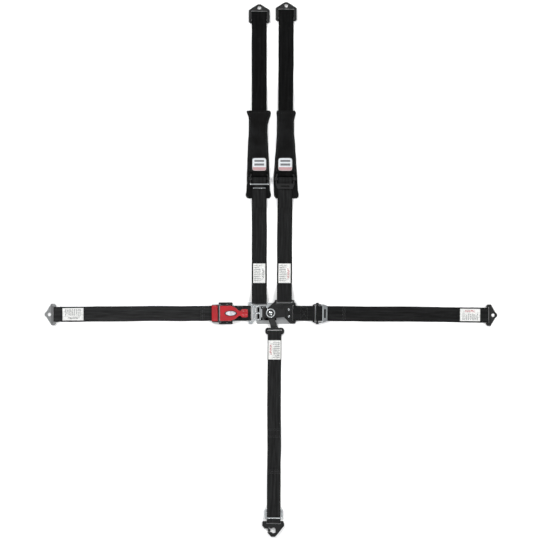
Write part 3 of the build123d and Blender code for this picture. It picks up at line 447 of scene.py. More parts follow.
def second_finish(node, look, inside):
    """Gives the faces of a node whose middle passes the test another finish."""
    mesh = nodes[node].data
    mesh.materials.append(look)
    for face in mesh.polygons:
        if inside(face.center / MM):
            face.material_index = len(mesh.materials) - 1


# Polished ring round the latch lever's aperture, and blackened cheeks on the plated adjusters.
second_finish("latch_lever", chrome_look, lambda p: hypot(p.x, p.y) < 16.0 and p.z > 17.1)
# The base plate and the left shoulder adjuster take the finishes with painted shade.
second_finish("latch_base_plate", base_look, lambda p: True)
second_finish("left_shoulder_adjuster_frame", band_look, lambda p: True)
second_finish("left_shoulder_adjuster_frame", black_look, lambda p: p.y > 440)
second_finish("lap_adjuster_frame", black_look, lambda p: p.x < 171)


# ---------------- straps

class Strap:
    """A floor frame along a strap: at(u, v, z) takes millimetres along, across and up."""

    def __init__(self, angle, x=0.0, y=0.0):
        c, s = cos(radians(angle)), sin(radians(angle))
        self.origin, self.along, self.across = Vector((x, y, 0)), Vector((c, s, 0)), Vector((-s, c, 0))

    def at(self, u, v, z):
        return (self.origin + self.along * u + self.across * v + Vector((0, 0, z))) * MM

    def where(self, place):
        """The millimetres along, across and up of a place."""
        d = place / MM - self.origin
        return d.dot(self.along), d.dot(self.across), d.z


def smooth(x):
    x = min(max(x, 0.0), 1.0)
    return x * x * (3 - 2 * x)


class Lie:
    """How far a strap lifts off flat: nothing where hardware holds it, a little in between."""

    def __init__(self, held, seed, lift=1.6, cup=1.0, wander=0.9):
        self.held, self.seed, self.lift, self.cup, self.wander = held, seed, lift, cup, wander

    def free(self, u):
        share = 1.0
        for low, high in self.held:
            gap = max(low - u, u - high, 0.0)
            share = min(share, smooth(gap / 55.0))
        return share

    def rise(self, u, v):
        k, f = self.seed, self.free(u)
        roll = 0.5 + 0.5 * sin(u / 71.0 + k)
        curl = 0.5 + 0.5 * sin(u / 47.0 + 2.3 * k + (0.8 if v > 0 else 0.0))
        fine = 0.5 + 0.5 * sin(u / 19.0 + v / 13.0 + k * 3.1)
        return f * (self.lift * roll * roll + self.cup * curl * (v / 25.4) ** 2 + 0.25 * fine)

    def shift(self, u):
        sway = sin(u / 120.0 + self.seed * 1.7) + 0.4 * sin(u / 37.0 + self.seed)
        return self.free(u) * self.wander * sway


def rounded(path, bends):
    """The points of a path in side view with its corners turned into arcs: (along, up, normal)."""
    points = [path[0]]
    for (p0, p1, p2), r in zip(zip(path, path[1:], path[2:]), bends):
        a = Vector((p0[0] - p1[0], p0[1] - p1[1])).normalized()
        b = Vector((p2[0] - p1[0], p2[1] - p1[1])).normalized()
        half = a.angle(b) / 2
        cut = r / tan(half)
        centre = Vector(p1) + (a + b).normalized() * (r / sin(half))
        start, stop = Vector(p1) + a * cut, Vector(p1) + b * cut
        t0 = atan2(start.y - centre.y, start.x - centre.x)
        t1 = atan2(stop.y - centre.y, stop.x - centre.x)
        turn = (t1 - t0 + pi) % (2 * pi) - pi
        steps = max(2, ceil(abs(turn) / radians(14)))
        for i in range(steps + 1):
            t = t0 + turn * i / steps
            points.append((centre.x + r * cos(t), centre.y + r * sin(t)))
    points.append(path[-1])
    fine = [points[0]]
    for p, q in zip(points, points[1:]):
        length = hypot(q[0] - p[0], q[1] - p[1])
        if length < 1e-6:
            continue
        steps = max(1, ceil(length / 5.0))
        fine += [(p[0] + (q[0] - p[0]) * i / steps, p[1] + (q[1] - p[1]) * i / steps)
                 for i in range(1, steps + 1)]
    out = []
    for i, (u, z) in enumerate(fine):
        before, after = fine[max(i - 1, 0)], fine[min(i + 1, len(fine) - 1)]
        du, dz = after[0] - before[0], after[1] - before[1]
        n = hypot(du, dz)
        out.append((u, z, -dz / n, du / n))
    return out


def link_mesh(name, points, faces, look, smooth_angle=50, attribute=None):
    mesh = bpy.data.meshes.new(name)
    mesh.from_pydata([tuple(p) for p in points], [], faces)
    mesh.validate()
    mesh.materials.append(look)
    mesh.shade_smooth()
    mesh.set_sharp_from_angle(angle=radians(smooth_angle))
    if attribute:
        layer = mesh.attributes.new("strap", "FLOAT_VECTOR", "POINT")
        layer.data.foreach_set("vector", [c for triple in attribute for c in triple])
    return placed(name, mesh)


def ribbon(tag, strap, path, bends, width, lie, look, body):
    """Webbing as a closed ribbon with soft selvedges, laid along its folded route."""
    columns = 12
    half, t = width / 2, web / 2
    section = [(-half + 1.2 + (width - 2.4) * i / columns, t) for i in range(columns + 1)]
    section += [(half - 0.35, t * 0.72), (half, 0.0), (half - 0.35, -t * 0.72)]
    section += [(half - 1.2 - (width - 2.4) * i / columns, -t) for i in range(columns + 1)]
    section += [(-half + 0.35, -t * 0.72), (-half, 0.0), (-half + 0.35, t * 0.72)]
    points, strapped, faces = [], [], []
    run, last, count = 0.0, None, len(section)
    stations = rounded(path, bends)
    for u, z, nu, nz in stations:
        if last:
            run += hypot(u - last[0], z - last[1])
        last = (u, z)
        ridge = 0.05 * sin(run / 2.6)
        for v, h in section:
            edge = ridge if abs(v) > half - 1 else 0.0
            place = strap.at(u + nu * h, v + lie.shift(u) + edge, z + nz * h + lie.rise(u, v))
            points.append(place)
            strapped.append((v * MM, run * MM, 0.0))
    for i in range(len(stations) - 1):
        for j in range(count):
            k = (j + 1) % count
            faces.append((i * count + j, i * count + k, (i + 1) * count + k, (i + 1) * count + j))
    faces.append(tuple(range(count - 1, -1, -1)))
    faces.append(tuple((len(stations) - 1) * count + j for j in range(count)))
    piece = link_mesh(tag + "_webbing", points, faces, look, 60, strapped)
    fix_normals(piece)
    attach(piece, body)
    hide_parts(tag + "_strap")


def fix_normals(piece):
    shape = bmesh.new()
    shape.from_mesh(piece.data)
    bmesh.ops.recalc_face_normals(shape, faces=shape.faces)
    shape.to_mesh(piece.data)
    shape.free()


def stitches(name, strap, lie, body, rows, look=None, length=2.9, gap=1.2, radius=0.33):
    """Thread as raised stitches. A row is (u0, v0, u1, v1, height)."""
    points, faces = [], []
    for u0, v0, u1, v1, up in rows:
        whole = hypot(u1 - u0, v1 - v0)
        number = max(1, int(whole / (length + gap)))
        du, dv = (u1 - u0) / whole, (v1 - v0) / whole
        pitch = whole / number
        for i in range(number):
            first = len(points)
            middle = (i + 0.5) * pitch
            for s, fat, lift in ((-0.5, 0.25, -0.22), (-0.3, 0.9, 0.12), (0.0, 1.0, 0.22), (0.3, 0.9, 0.12),
                                 (0.5, 0.25, -0.22)):
                u, v = u0 + du * (middle + s * length), v0 + dv * (middle + s * length)
                for a in range(6):
                    c, h = cos(a * pi / 3) * radius * fat, sin(a * pi / 3) * radius * fat
                    uu, vv = u - dv * c, v + du * c
                    points.append(strap.at(uu, vv + lie.shift(uu), up + lift + h + lie.rise(uu, vv)))
            for ring in range(4):
                for a in range(6):
                    p, q = first + ring * 6 + a, first + ring * 6 + (a + 1) % 6
                    faces.append((p, q, q + 6, p + 6))
            faces.append(tuple(first + a for a in range(5, -1, -1)))
            faces.append(tuple(first + 24 + a for a in range(6)))
    piece = link_mesh(name, points, faces, look or black_thread, 80)
    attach(piece, body)
    return piece


def box_and_cross(u0, u1, half, up):
    """The rows of a box stitch with its diagonals."""
    return [(u0, -half, u1, -half, up), (u1, -half, u1, half, up), (u1, half, u0, half, up),
            (u0, half, u0, -half, up), (u0, -half, u1, half, up), (u0, half, u1, -half, up)]


def hems(half, up, *starts):
    """Pairs of stitched rows across a strap."""
    return [(u, -half, u, half, up) for start in starts for u in (start, start + 4.5)]


def label_cloth(tag, strap, start, end, width, lie, body):
    """A sewn label: thin cloth that follows the webbing and lifts slightly at its corners."""
    columns, rows = 14, 20
    points, strapped, faces = [], [], []
    for side in (0, 1):
        for i in range(rows + 1):
            for j in range(columns + 1):
                a, b = i / rows * 2 - 1, j / columns * 2 - 1
                corner = smooth((abs(a) - 0.8) / 0.2) * smooth((abs(b) - 0.75) / 0.25)
                u, v = (start + end) / 2 + a * (end - start) / 2, b * width / 2
                ripple = 0.10 * sin(u / 3.1) * sin(v / 5.0 + u / 11.0)
                z = two_layers + 0.38 * side + 0.12 + ripple + 0.5 * corner
                points.append(strap.at(u, v + lie.shift(u), z + lie.rise(u, v)))
                strapped.append((v * MM, (u - (start + end) / 2) * MM, 0.0))
    size = (rows + 1) * (columns + 1)
    for i in range(rows):
        for j in range(columns):
            p = i * (columns + 1) + j
            quad = (p, p + 1, p + columns + 2, p + columns + 1)
            faces.append(tuple(reversed(quad)))
            faces.append(tuple(size + k for k in quad))
    rim = list(range(columns + 1))
    rim += [i * (columns + 1) + columns for i in range(1, rows + 1)]
    rim += [rows * (columns + 1) + j for j in range(columns - 1, -1, -1)]
    rim += [i * (columns + 1) for i in range(rows - 1, 0, -1)]
    for p, q in zip(rim, rim[1:] + rim[:1]):
        faces.append((p, q, size + q, size + p))
    piece = link_mesh(tag + "_label_cloth", points, faces, label_looks[tag], 50, strapped)
    fix_normals(piece)
    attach(piece, body)
    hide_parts(tag + "_label")
    inset, up = 1.6, two_layers + 0.62
    u0, u1, v1 = start + inset, end - inset, width / 2 - inset
    edge = [(u0, -v1, u1, -v1, up), (u1, -v1, u1, v1, up), (u1, v1, u0, v1, up), (u0, v1, u0, -v1, up)]
    stitches(tag + "_label_cloth_stitching", strap, lie, body, edge, white_thread,
             2.2, 1.0, 0.22)


def shifted(path, distance):
    """The points of an open path moved sideways, with mitred corners."""
    normals = []
    for (x0, y0), (x1, y1) in zip(path, path[1:]):
        length = hypot(x1 - x0, y1 - y0)
        normals.append(((y0 - y1) / length, (x1 - x0) / length))
    out = []
    for i, (x, y) in enumerate(path):
        ax, ay = normals[max(i - 1, 0)]
        bx, by = normals[min(i, len(normals) - 1)]
        share = distance / (1 + ax * bx + ay * by)
        out.append((x + (ax + bx) * share, y + (ay + by) * share))
    return out


# The same dimensions as the CAD part, in millimetres.
belt, crotch_belt = 50.8, 46.0
web, layer, wrap, bend, drape = 1.3, 1.45, 0.8, 1.0, 30.0
ground = web / 2
pad_rise = 5.2
two_layers = ground + layer + web / 2    # the top of two layers, where labels and hems lie
snug = 0.01                              # keeps each turn just inside its straights
lap_left, lap_right = Strap(180.37), Strap(-0.57)
shoulder = {"left": Strap(90.0, -38.5), "right": Strap(89.63, 46.5)}
crotch = Strap(-90.3, 14.0)

first, second = ground, ground + layer   # the middle of the lowest layer, and of the one above it
hem_half, crotch_hem_half, sewn_half = 22, 20, 20
label_width, shoulder_label_width = 42, 41
# The sliding bars: height, half width, and how far the outer edge is from the adjuster's middle.
bar_height, bar_half, bar_reach = 5.0, 3.5, 16
anchor_u, anchor_r = 733.0, 3.45
anchor_bends = [anchor_r - snug, anchor_r - snug, 6, 6]
still = Lie([(-50, 2000)], 0.0)


def anchor_loop(start, move=0.0):
    """The route round an anchor's bar, and back along the strap to the free end."""
    turn, top = anchor_u + anchor_r + move, ground + 2 * anchor_r
    return [(turn, first), (turn, top), (anchor_u - 6 + move, top), (anchor_u - 16 + move, second),
            (start + move, second)]


# ---- left lap
upper, lower = 5.8, 2.0
inner, outer = 67.8 - wrap, 135 + wrap
path = [(99, lower), (inner, lower), (inner, upper), (86, upper), (92, lower + layer),
        (112, lower + layer), (118, upper), (outer, upper), (outer, lower), (99.4, lower)]
ribbon("left_lap_short", lap_left, path, [bend, bend, 8, 8, 8, 8, bend, bend], belt, still,
       webbing_look, "left_lap")
stitches("left_lap_short_stitching", lap_left, still, "left_lap",
         box_and_cross(93.5, 110.5, sewn_half, 4.2))

turn_r = 3.2 + wrap
turn_in = 147.5 - turn_r
left_lie = Lie([(0, 262), (634, 800)], 0.4)
path = [(240, second), (205, second), (158, ground + 2 * turn_r), (turn_in, ground + 2 * turn_r),
        (turn_in, first)] + anchor_loop(630)
ribbon("left_lap", lap_left, path, [drape, drape, turn_r - snug, turn_r - snug] + anchor_bends,
       belt, left_lie, webbing_look, "left_lap")
stitches("left_lap_stitching", lap_left, left_lie, "left_lap",
         hems(hem_half, two_layers, 226, 232.5))
label_cloth("left_lap", lap_left, 636, 707, label_width, left_lie, "left_lap")

# ---- right lap
frame_up, frame_low, fixed_up, fixed_low = 5.8, 1.7, 6.0, 2.4
inner, outer = 77.7 - wrap, 149 + wrap
sewn = ground + 1
path = [(114, sewn), (92, sewn), (86, frame_low), (inner, frame_low), (inner, frame_up),
        (92, frame_up), (99, sewn + layer), (128, sewn + layer), (136, fixed_up),
        (outer, fixed_up), (outer, fixed_low), (140, fixed_low), (132, sewn), (114.4, sewn)]
ribbon("right_lap_short", lap_right, path, [8, 8, bend, bend, 6, 6, 6, 6, bend, bend, 8, 8],
       belt, still, right_lap_look, "latch")
stitches("right_lap_short_stitching", lap_right, still, "latch",
         box_and_cross(101, 126, sewn_half, sewn + layer + web / 2))
bar_top = bar_height + bar_half + wrap
bar_turn = 143 + bar_reach - bar_half - wrap
bar_r = (bar_top - ground) / 2 - snug
right_lie = Lie([(0, 275), (625, 800)], 2.1)
path = [(258, second), (174.5, second), (165, bar_top), (bar_turn, bar_top),
        (bar_turn, first)] + anchor_loop(632, 3)
ribbon("right_lap", lap_right, path, [3, 4, bar_r, bar_r] + anchor_bends, belt, right_lie,
       right_lap_look, "latch")
stitches("right_lap_stitching", lap_right, right_lie, "latch",
         hems(hem_half, two_layers, 244, 250.5))
label_cloth("right_lap", lap_right, 644, 712, label_width, right_lie, "latch")

# ---- shoulders
slide_u = 472                            # the far edge of the shoulder adjusters
fall_low, fall_high = 740, 785           # where the strap comes down off the pad
for which, tang_low, tang_end, tail, bracket, low_seed, high_seed in (
        ("left", 6.7, 38.0, 750, 984, 1.1, 0.9), ("right", 9.2, 44.5, 719, 991, 3.0, 2.6)):
    strap, body = shoulder[which], which + "_shoulder"
    high, under = tang_low + 2.2 + wrap, tang_low - wrap
    turn, turn_w = tang_end - 5.7 - wrap, slide_u - (bar_reach - bar_half - wrap)
    top, bottom = pad_rise + bar_height + bar_half + wrap, pad_rise + ground
    path = [(172, second), (96, second), (tang_end + 24, high), (turn, high), (turn, under),
            (tang_end + 26, under), (94, first), (342, first), (384, bottom), (turn_w, bottom),
            (turn_w, top), (450, top), (440.5, bottom + layer), (383.8, bottom + layer + 0.1),
            (358, bottom + layer - 3.1)]
    slide_r = (top - bottom) / 2 - snug
    low_lie = Lie([(0, 180), (325, 900)], low_seed)
    ribbon(body + "_lower", strap, path,
           [8, 8, bend, bend, 8, 8, drape, drape, slide_r, slide_r, 4, 3, drape],
           belt, low_lie, lower_look, body)
    label_cloth(body, strap, 102, 168, shoulder_label_width, low_lie, body)

    bottom = pad_rise + ground + 0.1
    low, up = pad_rise + 3.2 - wrap, pad_rise + 5.2 + wrap
    turn, over = slide_u - 6 - wrap, 6 + wrap
    bracket_turn = bracket + 39 + wrap
    back = shifted([(600, bottom), (fall_low, bottom), (fall_high, ground), (900, ground)], layer + 0.1)
    path = [(530, bottom + layer), (500, bottom + layer), (482, up), (turn, up), (turn, low), (480, low),
            (492, bottom), (fall_low, bottom), (fall_high, first), (bracket_turn, first),
            (bracket_turn, over), (bracket - 3, over), (bracket - 14, second + 0.1),
            (fall_high, second + 0.1)]
    bends = [8, 8, bend, bend, 8, 8, drape, drape, bend, bend, bend, 4, drape]
    if tail > back[1][0]:
        slope = (bottom - ground) / (fall_high - fall_low)
        path += [(tail, bottom + layer + 0.1 - (tail - fall_low) * slope)]
    else:
        path += [tuple(back[1]), (tail, bottom + layer + 0.1)]
        bends += [drape]
    high_lie = Lie([(0, 800), (955, 1200)], high_seed)
    ribbon(body + "_upper", strap, path, bends, belt, high_lie, upper_look, body)

# ---- crotch
crotch_bar, hook_bar, hook_r = 61.3 - wrap, 710.0, 2.5 + wrap
hook_turn, hook_top = hook_bar + hook_r, ground + 2 * hook_r
path = [(160, second), (92, second), (82, 5.8), (crotch_bar, 5.8), (crotch_bar, 2.0), (80, 2.0),
        (88, first), (hook_turn, first), (hook_turn, hook_top), (hook_bar - 3, hook_top),
        (hook_bar - 10.5, second), (691.5, second), (686.5, 6.0), (662.5, 6.0), (656.5, second),
        (530, second)]
crotch_lie = Lie([(0, 165), (515, 800)], 1.9, lift=1.3)
ribbon("crotch", crotch, path,
       [5, 5, bend, bend, 8, 8, hook_r - snug, hook_r - snug, 3, 3, 2, 2, 2, 2],
       crotch_belt, crotch_lie, crotch_look, "crotch_belt")
label_cloth("crotch", crotch, 93, 158, label_width, crotch_lie, "crotch_belt")
stitches("crotch_stitching", crotch, crotch_lie, "crotch_belt",
         hems(crotch_hem_half, two_layers, 534, 541) + hems(crotch_hem_half, web, 394, 418))


# ---------------- shoulder pads

def solid_copy(node, name, voxel):
    """The CAD solid as a fresh even mesh, to be worked on as cloth."""
    piece = placed(name, nodes[node].data.copy())
    piece.data.materials.clear()
    remesh = piece.modifiers.new("even", "REMESH")
    remesh.mode = "VOXEL"
    remesh.voxel_size = voxel
    apply(piece)
    return piece


def apply(piece):
    """Leaves the piece as it looks with its modifiers."""
    graph = bpy.context.evaluated_depsgraph_get()
    graph.update()
    made = bpy.data.meshes.new_from_object(piece.evaluated_get(graph))
    old = piece.data
    piece.modifiers.clear()
    piece.data = made
    bpy.data.meshes.remove(old)


def simulate(piece, frames, pressure, gravity, pins=None, bodies=()):
    """Runs Blender's cloth on the piece and keeps the result."""
    cloth = piece.modifiers.new("cloth", "CLOTH")
    s = cloth.settings
    s.quality = 6
    s.mass = 0.25
    s.tension_stiffness = s.compression_stiffness = 18
    s.shear_stiffness = 8
    s.bending_stiffness = 0.6
    if pressure:
        s.use_pressure = True
        s.uniform_pressure_force = pressure
    s.effector_weights.gravity = gravity
    if pins:
        group = piece.vertex_groups.new(name="pins")
        group.add(pins, 1.0, "REPLACE")
        s.vertex_group_mass = "pins"
    cloth.collision_settings.use_collision = bool(bodies)
    cloth.collision_settings.distance_min = 0.0006
    for other in bodies:
        other.modifiers.new("touch", "COLLISION")
        other.collision.thickness_outer = 0.0006
    scene.frame_start, scene.frame_end = 1, frames
    cloth.point_cache.frame_start, cloth.point_cache.frame_end = 1, frames
    for f in range(1, frames + 1):
        scene.frame_set(f)
    apply(piece)
    scene.frame_set(1)


def capped(piece, before, limit, lowest):
    """Holds every point within a distance of where it started, and above a height."""
    for vertex, start in zip(piece.data.vertices, before):
        move = vertex.co - start
        if move.length > limit:
            move = move * (limit / move.length)
        place = start + move
        place.z = max(place.z, lowest)
        vertex.co = place


def tube(name, places, radius, look, body, flat=1.0, closed=False):
    """Piping: a round binding swept through the given places."""
    curve = bpy.data.curves.new(name, "CURVE")
    curve.dimensions = "3D"
    curve.bevel_depth = radius
    curve.bevel_resolution = 3
    curve.use_fill_caps = True
    line = curve.splines.new("POLY")
    line.points.add(len(places) - 1)
    for point, place in zip(line.points, places):
        point.co = (*place, 1)
    line.use_cyclic_u = closed
    shaped = placed(name, curve)
    graph = bpy.context.evaluated_depsgraph_get()
    mesh = bpy.data.meshes.new_from_object(shaped.evaluated_get(graph))
    bpy.data.objects.remove(shaped)
    mesh.materials.clear()
    mesh.materials.append(look)
    mesh.shade_smooth()
    piece = placed(name, mesh)
    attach(piece, body)
    return piece


# How far each pad reaches to either side of its strap: (along, left, right). The covers are drawn in
# along the middle, spread where they were slit for the adjuster, and turn out at their corners.
pad_shapes = {
    "left": [(391, 41, 36), (399, 46, 40), (418, 43, 36), (452, 42, 34.5), (520, 40, 32.5), (560, 38.5, 30),
             (615, 35.5, 27.8), (640, 35.2, 28.8), (657, 35, 33), (669, 36.5, 37), (679, 41.5, 40),
             (687, 43, 36)],
    "right": [(391, 33, 42), (399, 37, 46.5), (418, 38, 43), (452, 39.5, 41), (520, 35, 36.5),
              (560, 31.5, 33), (615, 28.8, 28.8), (655, 28.6, 28.8), (669, 29, 31.5), (679, 30.5, 35.5),
              (687, 29.5, 32)],
}
pad_start, pad_end, sleeve_start = 391.5, 686.0, 476.5
pad_middle, pad_length_share = 539, 0.993
cushion_lift, cushion_share = 0.9, 0.62
rim_inset, rim_height, rim_radius, end_radius = 1.8, 2.6, 0.0022, 0.0011
seam_start, seam_end, seam_step, sleeve_inset = 482.0, 678, 8, 1.5
patch_middle, patch_half_length, patch_half_width, patch_lowest = 504.5, 21.5, 23.5, 8.6
patch_hem = 0.9

# Soft creases in each sleeve: (height, place across, lean, width, middle, length).
creases = {
    "left": [(1.7, -9, 0.16, 3.4, 628, 42), (1.4, 5, 0.10, 3.0, 600, 50), (1.2, 13, -0.05, 2.6, 570, 40),
             (1.3, -15, 0.22, 2.8, 655, 22)],
    "right": [(1.5, 8, -0.08, 3.2, 610, 50), (1.2, -6, 0.05, 2.8, 575, 36), (1.2, 14, -0.10, 2.6, 650, 24)],
}


def patch_corner(a, b):
    """Draws in the corners of the patch."""
    return 1 - 0.10 * (a * b) ** 6


def reach(shape, u, side):
    """Half the width of a pad on one side: side is +1 for left and -1 for right."""
    column = 1 if side > 0 else 2
    if u <= shape[0][0]:
        return shape[0][column]
    for a, b in zip(shape, shape[1:]):
        if u <= b[0]:
            return a[column] + (b[column] - a[column]) * smooth((u - a[0]) / (b[0] - a[0]))
    return shape[-1][column]


def grid_faces(rows, columns):
    """The quads between the points of a grid."""
    starts = [i * (columns + 1) + j for i in range(rows) for j in range(columns)]
    return [(p, p + columns + 1, p + columns + 2, p + 1) for p in starts]


def sleeve_sheet(name, strap, shape, seed):
    """The sleeve's upper cloth, cut a little full and hung over the strap's tunnel."""
    rows, columns = 76, 30
    points, strapped = [], []
    for i in range(rows + 1):
        u = sleeve_start + (pad_end - sleeve_start) * i / rows
        mouth = smooth((514 - u) / 38)
        peak = 10.4 + 2.6 * mouth
        for j in range(columns + 1):
            b = j / columns * 2 - 1
            v = b * (reach(shape, u, b) - sleeve_inset)
            arch = 1 - smooth((abs(v) - 25.8) / max(1.5, reach(shape, u, b) - 28.5))
            full = 0.7 * sin(u / 9.0 + seed + b * 2.0) * sin(u / 23.0 + 2 * seed) * arch
            z = 5.3 + (peak - 5.3) * arch + full
            points.append(strap.at(u, v, z))
            strapped.append((v * MM, u * MM, 0.0))
    piece = link_mesh(name, points, grid_faces(rows, columns), pad_look, 80, strapped)
    return piece, rows, columns


def tunnel_block(strap):
    """Stands in for the strap inside the sleeve while the cloth settles on it."""
    sections = [(470, 12.7), (490, 12.6), (512, 9.3), (692, 9.3)]
    points, faces = [], []
    for u, z in sections:
        for v, h in ((-27.5, 4.6), (-27.0, z - 0.9), (-25.5, z), (25.5, z), (27.0, z - 0.9), (27.5, 4.6)):
            points.append(strap.at(u, v, h))
    for i in range(len(sections) - 1):
        for j in range(5):
            p = i * 6 + j
            faces.append((p, p + 6, p + 7, p + 1))
    return link_mesh("tunnel", points, faces, pad_look, 30)


for which, top, seed in (("left", 38.5, 0.7), ("right", 34.0, 2.9)):
    strap, body, shape = shoulder[which], which + "_pad", pad_shapes[which]
    cushion = solid_copy(body + "_cushion", body + "_cushion_cloth", 0.0030)
    solid_shape = [(391, 39.5), (411, 42.5), (451, 40.5), (536, 34), (635, 32), (673, top), (687, top)]
    for vertex in cushion.data.vertices:
        u, v, z = strap.where(vertex.co)
        old = next((a[1] + (b[1] - a[1]) * (u - a[0]) / (b[0] - a[0])
                    for a, b in zip(solid_shape, solid_shape[1:]) if u <= b[0]), top)
        spread = (reach(shape, u, v) - 1.2) / old
        vertex.co = strap.at(pad_middle + (u - pad_middle) * pad_length_share, v * spread,
                             cushion_lift + z * cushion_share)
    before = [v.co.copy() for v in cushion.data.vertices]
    simulate(cushion, 14, 2.5, 0.0)
    capped(cushion, before, 0.0022, 0.0002)
    cushion.data.materials.clear()
    cushion.data.materials.append(pad_look)
    cushion.data.shade_smooth()
    for vertex in cushion.data.vertices:
        x, y = vertex.co.x / MM, vertex.co.y / MM
        puff = 0.22 * sin(x / 8.5 + seed) * sin(y / 14.0 + seed) + 0.12 * sin(y / 5.0 + x / 9.0)
        vertex.co.z = min(max(vertex.co.z + puff * MM * (1 if vertex.co.z > 0.002 else 0), 0.0001), 0.0052)
    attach(cushion, body)
    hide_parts(body + "_cushion")

    sleeve, rows, columns = sleeve_sheet(body + "_sleeve_cloth", strap, shape, seed)
    pins = [i * (columns + 1) + j for i in range(rows + 1) for j in (0, 1, columns - 1, columns)]
    block = tunnel_block(strap)
    simulate(sleeve, 26, 0.0, 0.6, pins, [block])
    bpy.data.objects.remove(block)
    for vertex in sleeve.data.vertices:
        u, v, _ = strap.where(vertex.co)
        calm = smooth((u - 530) / 25) * smooth((680 - u) / 25) * smooth((24 - abs(v)) / 8)
        crease = sum(h * exp(-((v - v0 - (u - 600) * lean) / w) ** 2) * exp(-((u - u0) / span_u) ** 2)
                     for h, v0, lean, w, u0, span_u in creases[which])
        vertex.co.z += crease * calm * MM
    settled = [vertex.co.copy() for vertex in sleeve.data.vertices]
    edges = {"mouth": settled[:columns + 1], "top": settled[rows * (columns + 1):]}
    thick = sleeve.modifiers.new("cloth thickness", "SOLIDIFY")
    thick.thickness = 0.0011
    thick.offset = 0.0
    fine = sleeve.modifiers.new("fine", "SUBSURF")
    fine.levels = fine.render_levels = 1
    apply(sleeve)
    sleeve.data.shade_smooth()
    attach(sleeve, body)
    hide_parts(body + "_sleeve")

    skin = BVHTree.FromPolygons([v.co for v in sleeve.data.vertices],
                                [p.vertices for p in sleeve.data.polygons])

    def drop(u, v, lift=0.0):
        """The height of the sleeve's top at a place, in millimetres."""
        place = strap.at(u, v, 60)
        hit = skin.ray_cast(place, Vector((0, 0, -1)))[0]
        return (hit.z / MM if hit else 6.0) + lift

    # Binding round the cushion's rim and along the sleeve's two ends.
    stations = [pad_start + (pad_end - pad_start) * i / 48 for i in range(49)]
    edge = [strap.at(u, reach(shape, u, 1) - rim_inset, rim_height) for u in stations]
    edge += [strap.at(pad_end, (reach(shape, pad_end, 1) - 3) * (1 - i / 5), rim_height)
             for i in range(1, 10)
             if (1 - i / 5) * reach(shape, pad_end, 1) > 3 - reach(shape, pad_end, -1)]
    edge += [strap.at(u, rim_inset - reach(shape, u, -1), rim_height) for u in reversed(stations)]
    tube(body + "_rim_binding", edge, rim_radius, binding_look, body, closed=True)
    for tag, places in edges.items():
        tube(body + "_" + tag + "_binding", places, end_radius, binding_look, body)

    # Two rows of stitches along each side of the sleeve, and rows across its ends.
    seams = []
    for sign in (-1, 1):
        for inset in (2.2, 4.6):
            u = seam_start
            while u < seam_end:
                after = u + seam_step
                v0, v1 = (sign * (reach(shape, at, sign) - sleeve_inset - inset) for at in (u, after))
                seams.append((u, v0, after, v1, drop((u + after) / 2, (v0 + v1) / 2)))
                u = after
    for u in (482.5, 485.5, 679.5):
        start, end = 6.5 - reach(shape, u, -1), reach(shape, u, 1) - 6.5
        for i in range(8):
            v0, v1 = start + (end - start) * i / 8, start + (end - start) * (i + 1) / 8
            seams.append((u, v0, u, v1, drop(u, (v0 + v1) / 2)))
    stitches(body + "_sleeve_stitching", strap, still, body, seams, length=2.4,
             radius=0.25)

    # Embroidered patch laid on the sleeve.
    columns, rows = 16, 16
    points, strapped = [], []
    for i in range(rows + 1):
        for j in range(columns + 1):
            a, b = i / rows * 2 - 1, j / columns * 2 - 1
            squeeze = patch_corner(a, b)
            u, v = patch_middle + a * patch_half_length * squeeze, b * patch_half_width * squeeze
            points.append(strap.at(u, v, max(drop(u, v * 0.98), patch_lowest) + 0.45))
            strapped.append((v * MM, a * patch_half_length * MM, 0.0))
    patch = link_mesh(body + "_patch_cloth", points, grid_faces(rows, columns), patch_look, 60, strapped)
    thick = patch.modifiers.new("patch thickness", "SOLIDIFY")
    thick.thickness = 0.0007
    thick.offset = 0.0
    apply(patch)
    fix_normals(patch)
    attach(patch, body)
    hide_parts(body + "_patch")
    corners = [(-1, -1), (1, -1), (1, 1), (-1, 1)]
    places = []
    for (a0, b0), (a1, b1) in zip(corners, corners[1:] + corners[:1]):
        for i in range(14):
            a, b = a0 + (a1 - a0) * i / 14, b0 + (b1 - b0) * i / 14
            squeeze = patch_corner(a, b)
            u = patch_middle + a * (patch_half_length - patch_hem) * squeeze
            v = b * (patch_half_width - patch_hem) * squeeze
            places.append(strap.at(u, v, max(drop(u, v), patch_lowest) + 0.75))
    tube(body + "_patch_border", places, 0.0006, white_thread, body, closed=True)


# ---------------- red grip

def moulded(node, name, voxel, passes, look):
    """The CAD solid with its edges run out, as it comes from a mould."""
    piece = solid_copy(node, name, voxel)
    soften = piece.modifiers.new("soft", "SMOOTH")
    soften.factor = 0.5
    soften.iterations = passes
    apply(piece)
    piece.data.materials.clear()
    piece.data.materials.append(look)
    piece.data.shade_smooth()
    return piece


grip = moulded("cam_lever_grip", "cam_lever_grip_moulding", 0.0008, 5, red_look)
for vertex in grip.data.vertices:
    u, v, z = lap_left.where(vertex.co)
    if z > 15.5:
        studs = sum(exp(-((u - a) ** 2 + (v - b) ** 2) / 7.0)
                    for a in (83.5, 93.5) for b in (-6.5, 6.5)) * 1.7
        dish = exp(-((u - 135) / 24) ** 4 - (v / 13) ** 4)
        step = smooth((u - 160) / 3) * smooth((27 - abs(v)) / 2)
        vertex.co.z += (0.9 * studs * smooth((99 - u) / 3) - 0.35 * dish + 0.7 * step) * MM
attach(grip, "cam_lever")
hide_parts("cam_lever_grip")

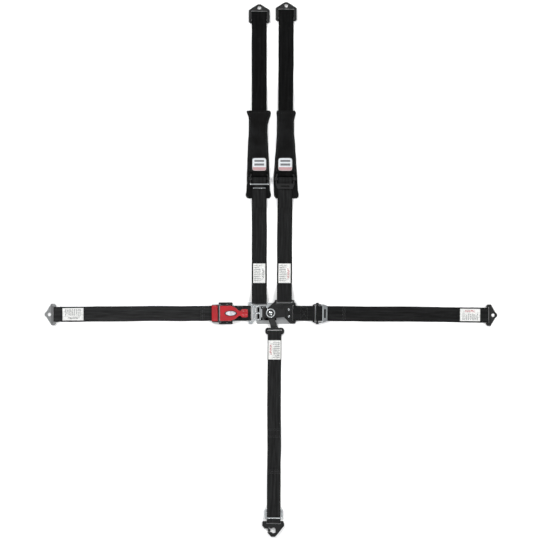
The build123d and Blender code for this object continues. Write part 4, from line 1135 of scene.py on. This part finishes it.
cover = moulded("cam_adjuster_end_cover", "cam_adjuster_end_cover_moulding", 0.0007, 4, red_look)
for vertex in cover.data.vertices:
    u, v, z = lap_left.where(vertex.co)
    if z > 11:
        grooves = sum(exp(-((u - c) / 0.8) ** 2) for c in (185, 189, 193)) * smooth((22 - abs(v)) / 3)
        vertex.co.z -= 0.5 * MM * grooves
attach(cover, "left_lap")
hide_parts("cam_adjuster_end_cover")

# ---------------- floor

floor_look = Shader("floor")
floor_grain = floor_look.noise(floor_look.place(), 300.0, 2.0)
floor_look.finish(Base_Color=(0.93, 0.93, 0.93, 1), Roughness=0.85, Specular_IOR_Level=0.1,
                  Normal=floor_look.bump(floor_grain, 0.0001, 0.1))
floor_half, floor_z = 2.7, -0.0003
floor = link_mesh("floor", [(x * floor_half, y * floor_half, floor_z)
                            for x, y in ((-1, -1), (1, -1), (1, 1), (-1, 1))], [(0, 1, 2, 3)],
                  floor_look.material)
floor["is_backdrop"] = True

low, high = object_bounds()
